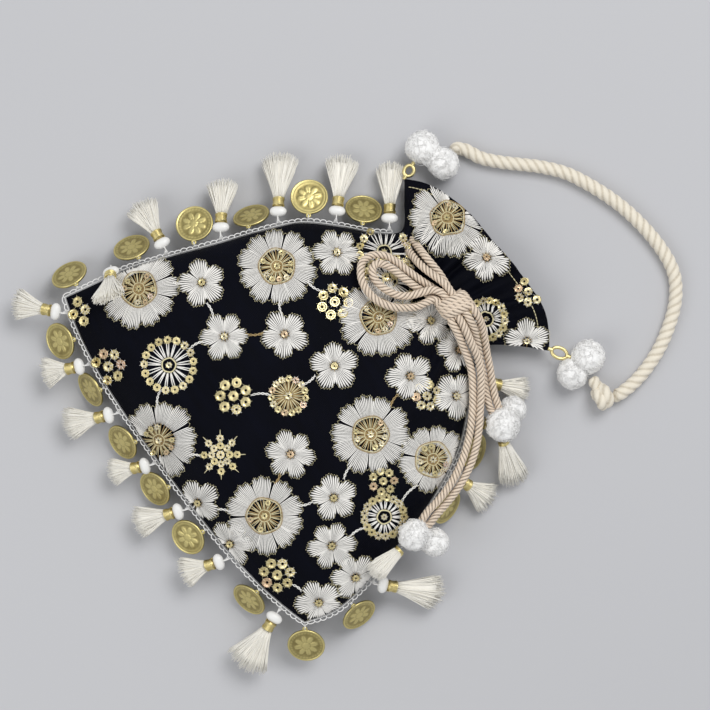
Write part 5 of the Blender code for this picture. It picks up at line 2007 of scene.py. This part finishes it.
    def ring(self, finish: Finish, motif: Motif, radius: float, rise: float, thick: float) -> None:
        """Lay a round of thread about a motif's middle.

        Args:
            finish: Its thread.
            motif: The motif.
            radius: Out to its middle line.
            rise: Its height over the cloth.
            thick: The thread's half thickness.
        """
        x, y = motif.x, motif.y
        turn = np.linspace(0.0, math.tau, max(14, int(radius * 6500)))
        wobble = radius * (1.0 + 0.03 * np.sin(5.0 * turn + x * 900.0))
        line = np.stack([x + wobble * np.cos(turn), y + wobble * np.sin(turn), np.full(len(turn), rise)], 1)
        if self.height(x, y) is not None and all(self.height(p[0], p[1]) is not None for p in line):
            bench = self.benches[self.zone, finish]
            bench.thread(self.press(line), thick, UP, 5, 0.7)

    def spokes(
        self,
        finish: Finish,
        motif: Motif,
        count: int,
        start: float,
        end: float,
        wide: float,
        rise: float,
        phase: float = 0.0,
    ) -> None:
        """Lay straight stitches that radiate from a motif's middle.

        Args:
            finish: Their thread.
            motif: The motif.
            count: How many there are.
            start: Where they start, from the middle.
            end: Where they end.
            wide: Half their width.
            rise: Their height over the cloth.
            phase: How far they are turned, in radians.
        """
        angle = motif.turn + phase + math.tau * np.arange(count) / count
        angle = angle + self.rng.normal(scale=0.02, size=count)
        away = start + (end - start) * np.linspace(0.0, 1.0, 5)
        x = motif.x + away * np.cos(angle)[:, None]
        y = motif.y + away * np.sin(angle)[:, None]
        z = rise + 0.0002 * np.sin(math.pi * np.linspace(0.1, 0.9, 5))
        self.sew(finish, np.stack([x, y, np.broadcast_to(z, x.shape)], -1), wide, 0.8 * wide, 0.75)

    def sequin(
        self, x: float, y: float, radius: float, finish: Finish = SEQUIN_GOLD, rise: float = 0.0004
    ) -> None:
        """Sew on one cupped ring sequin with the stitches that hold it.

        Args:
            x: Its middle's first place.
            y: Its middle's second place.
            radius: Its radius.
            finish: Its metal.
            rise: Its height over the cloth.
        """
        if self.height(x, y) is None:
            return
        turn = spaced(16)
        lean = self.rng.normal(scale=0.10, size=2)
        rings = []
        for away, high in self.cup:
            px, py = radius * away * np.cos(turn), radius * away * np.sin(turn)
            pz = rise + radius * high + lean[0] * px + lean[1] * py
            rings.append(np.stack([x + px, y + py, np.maximum(pz, 0.0001)], 1))
        rings.append(rings[0])
        grid = self.press(np.array(rings))
        tone = float(self.rng.uniform(0.5, 1.0))
        self.benches[self.zone, finish].rows(grid, tone, ends=False)
        thread = IVORY if self.rng.random() < 0.35 else PALE_GOLD
        spot = Motif(Kind.ROSETTE, x, y, radius, float(self.rng.uniform(0.0, 1.0)))
        self.spokes(thread, spot, 7, 0.30 * radius, 1.22 * radius, 0.00020, rise + 0.0002)

    def gold_or_rose(self, share: float) -> Finish:
        """Pick a sequin's metal, rose in the given share of draws."""
        return SEQUIN_ROSE if self.rng.random() < share else SEQUIN_GOLD

    def daisy(self, motif: Motif) -> None:
        """Stitch a large daisy: ten scalloped petals round a gold middle."""
        self.fan(motif, 10, 12, 0.42, 0.10, 0.075, 0.0003)
        self.spokes(BROWN_GOLD, motif, 30, 0.0008, self.disc, 0.00042, self.lift + 0.0002)
        rim = self.disc - 0.0006
        for radius, finish in ((self.disc, BROWN_GOLD), (rim, PALE_GOLD), (0.0030, PALE_GOLD)):
            self.ring(finish, motif, radius, self.lift + 0.0007, 0.00022)
        for phase in (0.02, 0.12):
            self.spokes(PALE_GOLD, motif, 14, 0.0032, 0.0076, 0.00024, self.lift + 0.0008, phase)
        self.sequin(motif.x, motif.y, 0.0016, rise=0.0010)
        outer = 12
        for k in range(outer):
            if self.rng.random() < 0.62:
                angle = motif.turn + math.tau * k / outer
                finish = self.gold_or_rose(0.3)
                self.sequin(*motif.at(self.rng.uniform(0.0066, 0.0074), angle), 0.0014, finish, 0.0011)

    def flower(self, motif: Motif) -> None:
        """Stitch a small flower of five or six petals with one sequin in its middle."""
        petals = 6 if motif.turn > 0.7 else 5
        self.fan(motif, petals, 10, 0.17, 0.30, 0.08, 0.0004)
        self.spokes(BROWN_GOLD, motif, 9, 0.0010, 0.0028, 0.00020, self.lift + 0.0008)
        self.sequin(motif.x, motif.y, 0.0017, self.gold_or_rose(0.35), 0.0011)

    def rosette(self, motif: Motif) -> None:
        """Sew a ring of sequins round one in the middle."""
        radius = 0.26 * motif.size
        self.sequin(motif.x, motif.y, radius)
        count = 7
        for k in range(count):
            angle = motif.turn + math.tau * k / count
            away = 0.66 * motif.size + self.rng.uniform(-0.0003, 0.0003)
            self.sequin(*motif.at(away, angle), radius, self.gold_or_rose(0.2))

    def wheel(self, motif: Motif) -> None:
        """Stitch a wheel: pairs of white spokes from a small ring, each ending at a rim of sequins."""
        pairs = 17
        for phase in (-0.058, 0.058):
            end = motif.size - 0.0040
            self.spokes(IVORY, motif, pairs, 0.0040, end, 0.00046, self.lift + 0.0003, phase)
        self.ring(PALE_GOLD, motif, 0.0035, self.lift + 0.0004, 0.0004)
        self.sequin(motif.x, motif.y, 0.0015)
        for k in range(pairs):
            angle = motif.turn + math.tau * k / pairs
            self.sequin(*motif.at(motif.size - 0.0024, angle), 0.0020)

    def gold_medallion(self, motif: Motif) -> None:
        """Fill a gold medallion with crossing thread and sequins."""
        self.spokes(BROWN_GOLD, motif, 34, 0.0006, motif.size - 0.0014, 0.00045, self.lift + 0.0002)
        self.spokes(PALE_GOLD, motif, 20, 0.0024, 0.0072, 0.00030, self.lift + 0.0007)
        self.sequin(motif.x, motif.y, 0.0020, rise=0.0011)
        count = 15
        for k in range(count):
            angle = math.tau * k / count
            finish = SEQUIN_ROSE if k % 4 == 1 else SEQUIN_GOLD
            self.sequin(*motif.at(motif.size - 0.0016, angle), 0.0017, finish)

    def starburst(self, motif: Motif) -> None:
        """Sew eight rays of two sequins each, with a pointed stitch at each tip."""
        self.sequin(motif.x, motif.y, 0.0021)
        for k in range(8):
            angle = 0.2 + math.tau * k / 8
            for away in (0.0045, 0.0082):
                self.sequin(*motif.at(away, angle), 0.0018)
        turned = replace(motif, turn=0.2)
        self.spokes(PALE_GOLD, turned, 8, 0.0096, 0.0124, 0.0003, 0.0004)

    def bars(self) -> None:
        """Join the pair of motifs nearest to each listed place by a short twisted bar of thread."""
        for number, place in enumerate(self.joins):
            self.zone = Zone.FRILL if place[1] > self.frill_start else Zone.FRONT
            spot = np.array(place)
            near = sorted(self.motifs, key=lambda m: math.dist((m.x, m.y), place) - m.size)[:2]
            first, second = (np.array((m.x, m.y)) for m in near)
            start = first + 0.84 * near[0].size * unit(spot - first)
            end = second + 0.84 * near[1].size * unit(spot - second)
            run = end - start
            reach = float(np.linalg.norm(run))
            side = np.array((-run[1], run[0])) / max(reach, 1e-6)
            share = np.linspace(0.0, 1.0, max(8, int(reach / 0.0006)) + 1)
            bow = 0.09 * reach * np.sin(math.pi * share) * (1 if number % 2 else -1)
            finish = BROWN_GOLD if number % 7 == 3 else IVORY
            lines = []
            for phase in (0.0, math.pi):
                swing = phase + math.tau * share * reach / 0.0042
                plan = start + run * share[:, None] + side * (bow + 0.00042 * np.cos(swing))[:, None]
                rise = self.lift + 0.0004 + 0.0002 * np.sin(swing)
                lines.append(np.column_stack([plan, rise]))
            self.sew(finish, np.array(lines), 0.00036, 0.00034, 0.8)


def main() -> None:
    """Build every sub-assembly in order."""
    logging.basicConfig(level=logging.INFO, format="%(message)s")
    shop = Workshop(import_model())
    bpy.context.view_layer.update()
    Studio().build(shop)
    drawstrings = Drawstrings()
    drawstrings.build(shop)
    Handle().build(shop)
    Pompoms().build(shop)
    TailTassels().build(shop)
    cloth = Pouch().build(shop)
    Embroidery(cloth).build(shop)
    Lace().build(shop)
    Coins().build(shop)
    Tassels().build(shop)


if __name__ == "__main__":
    main()
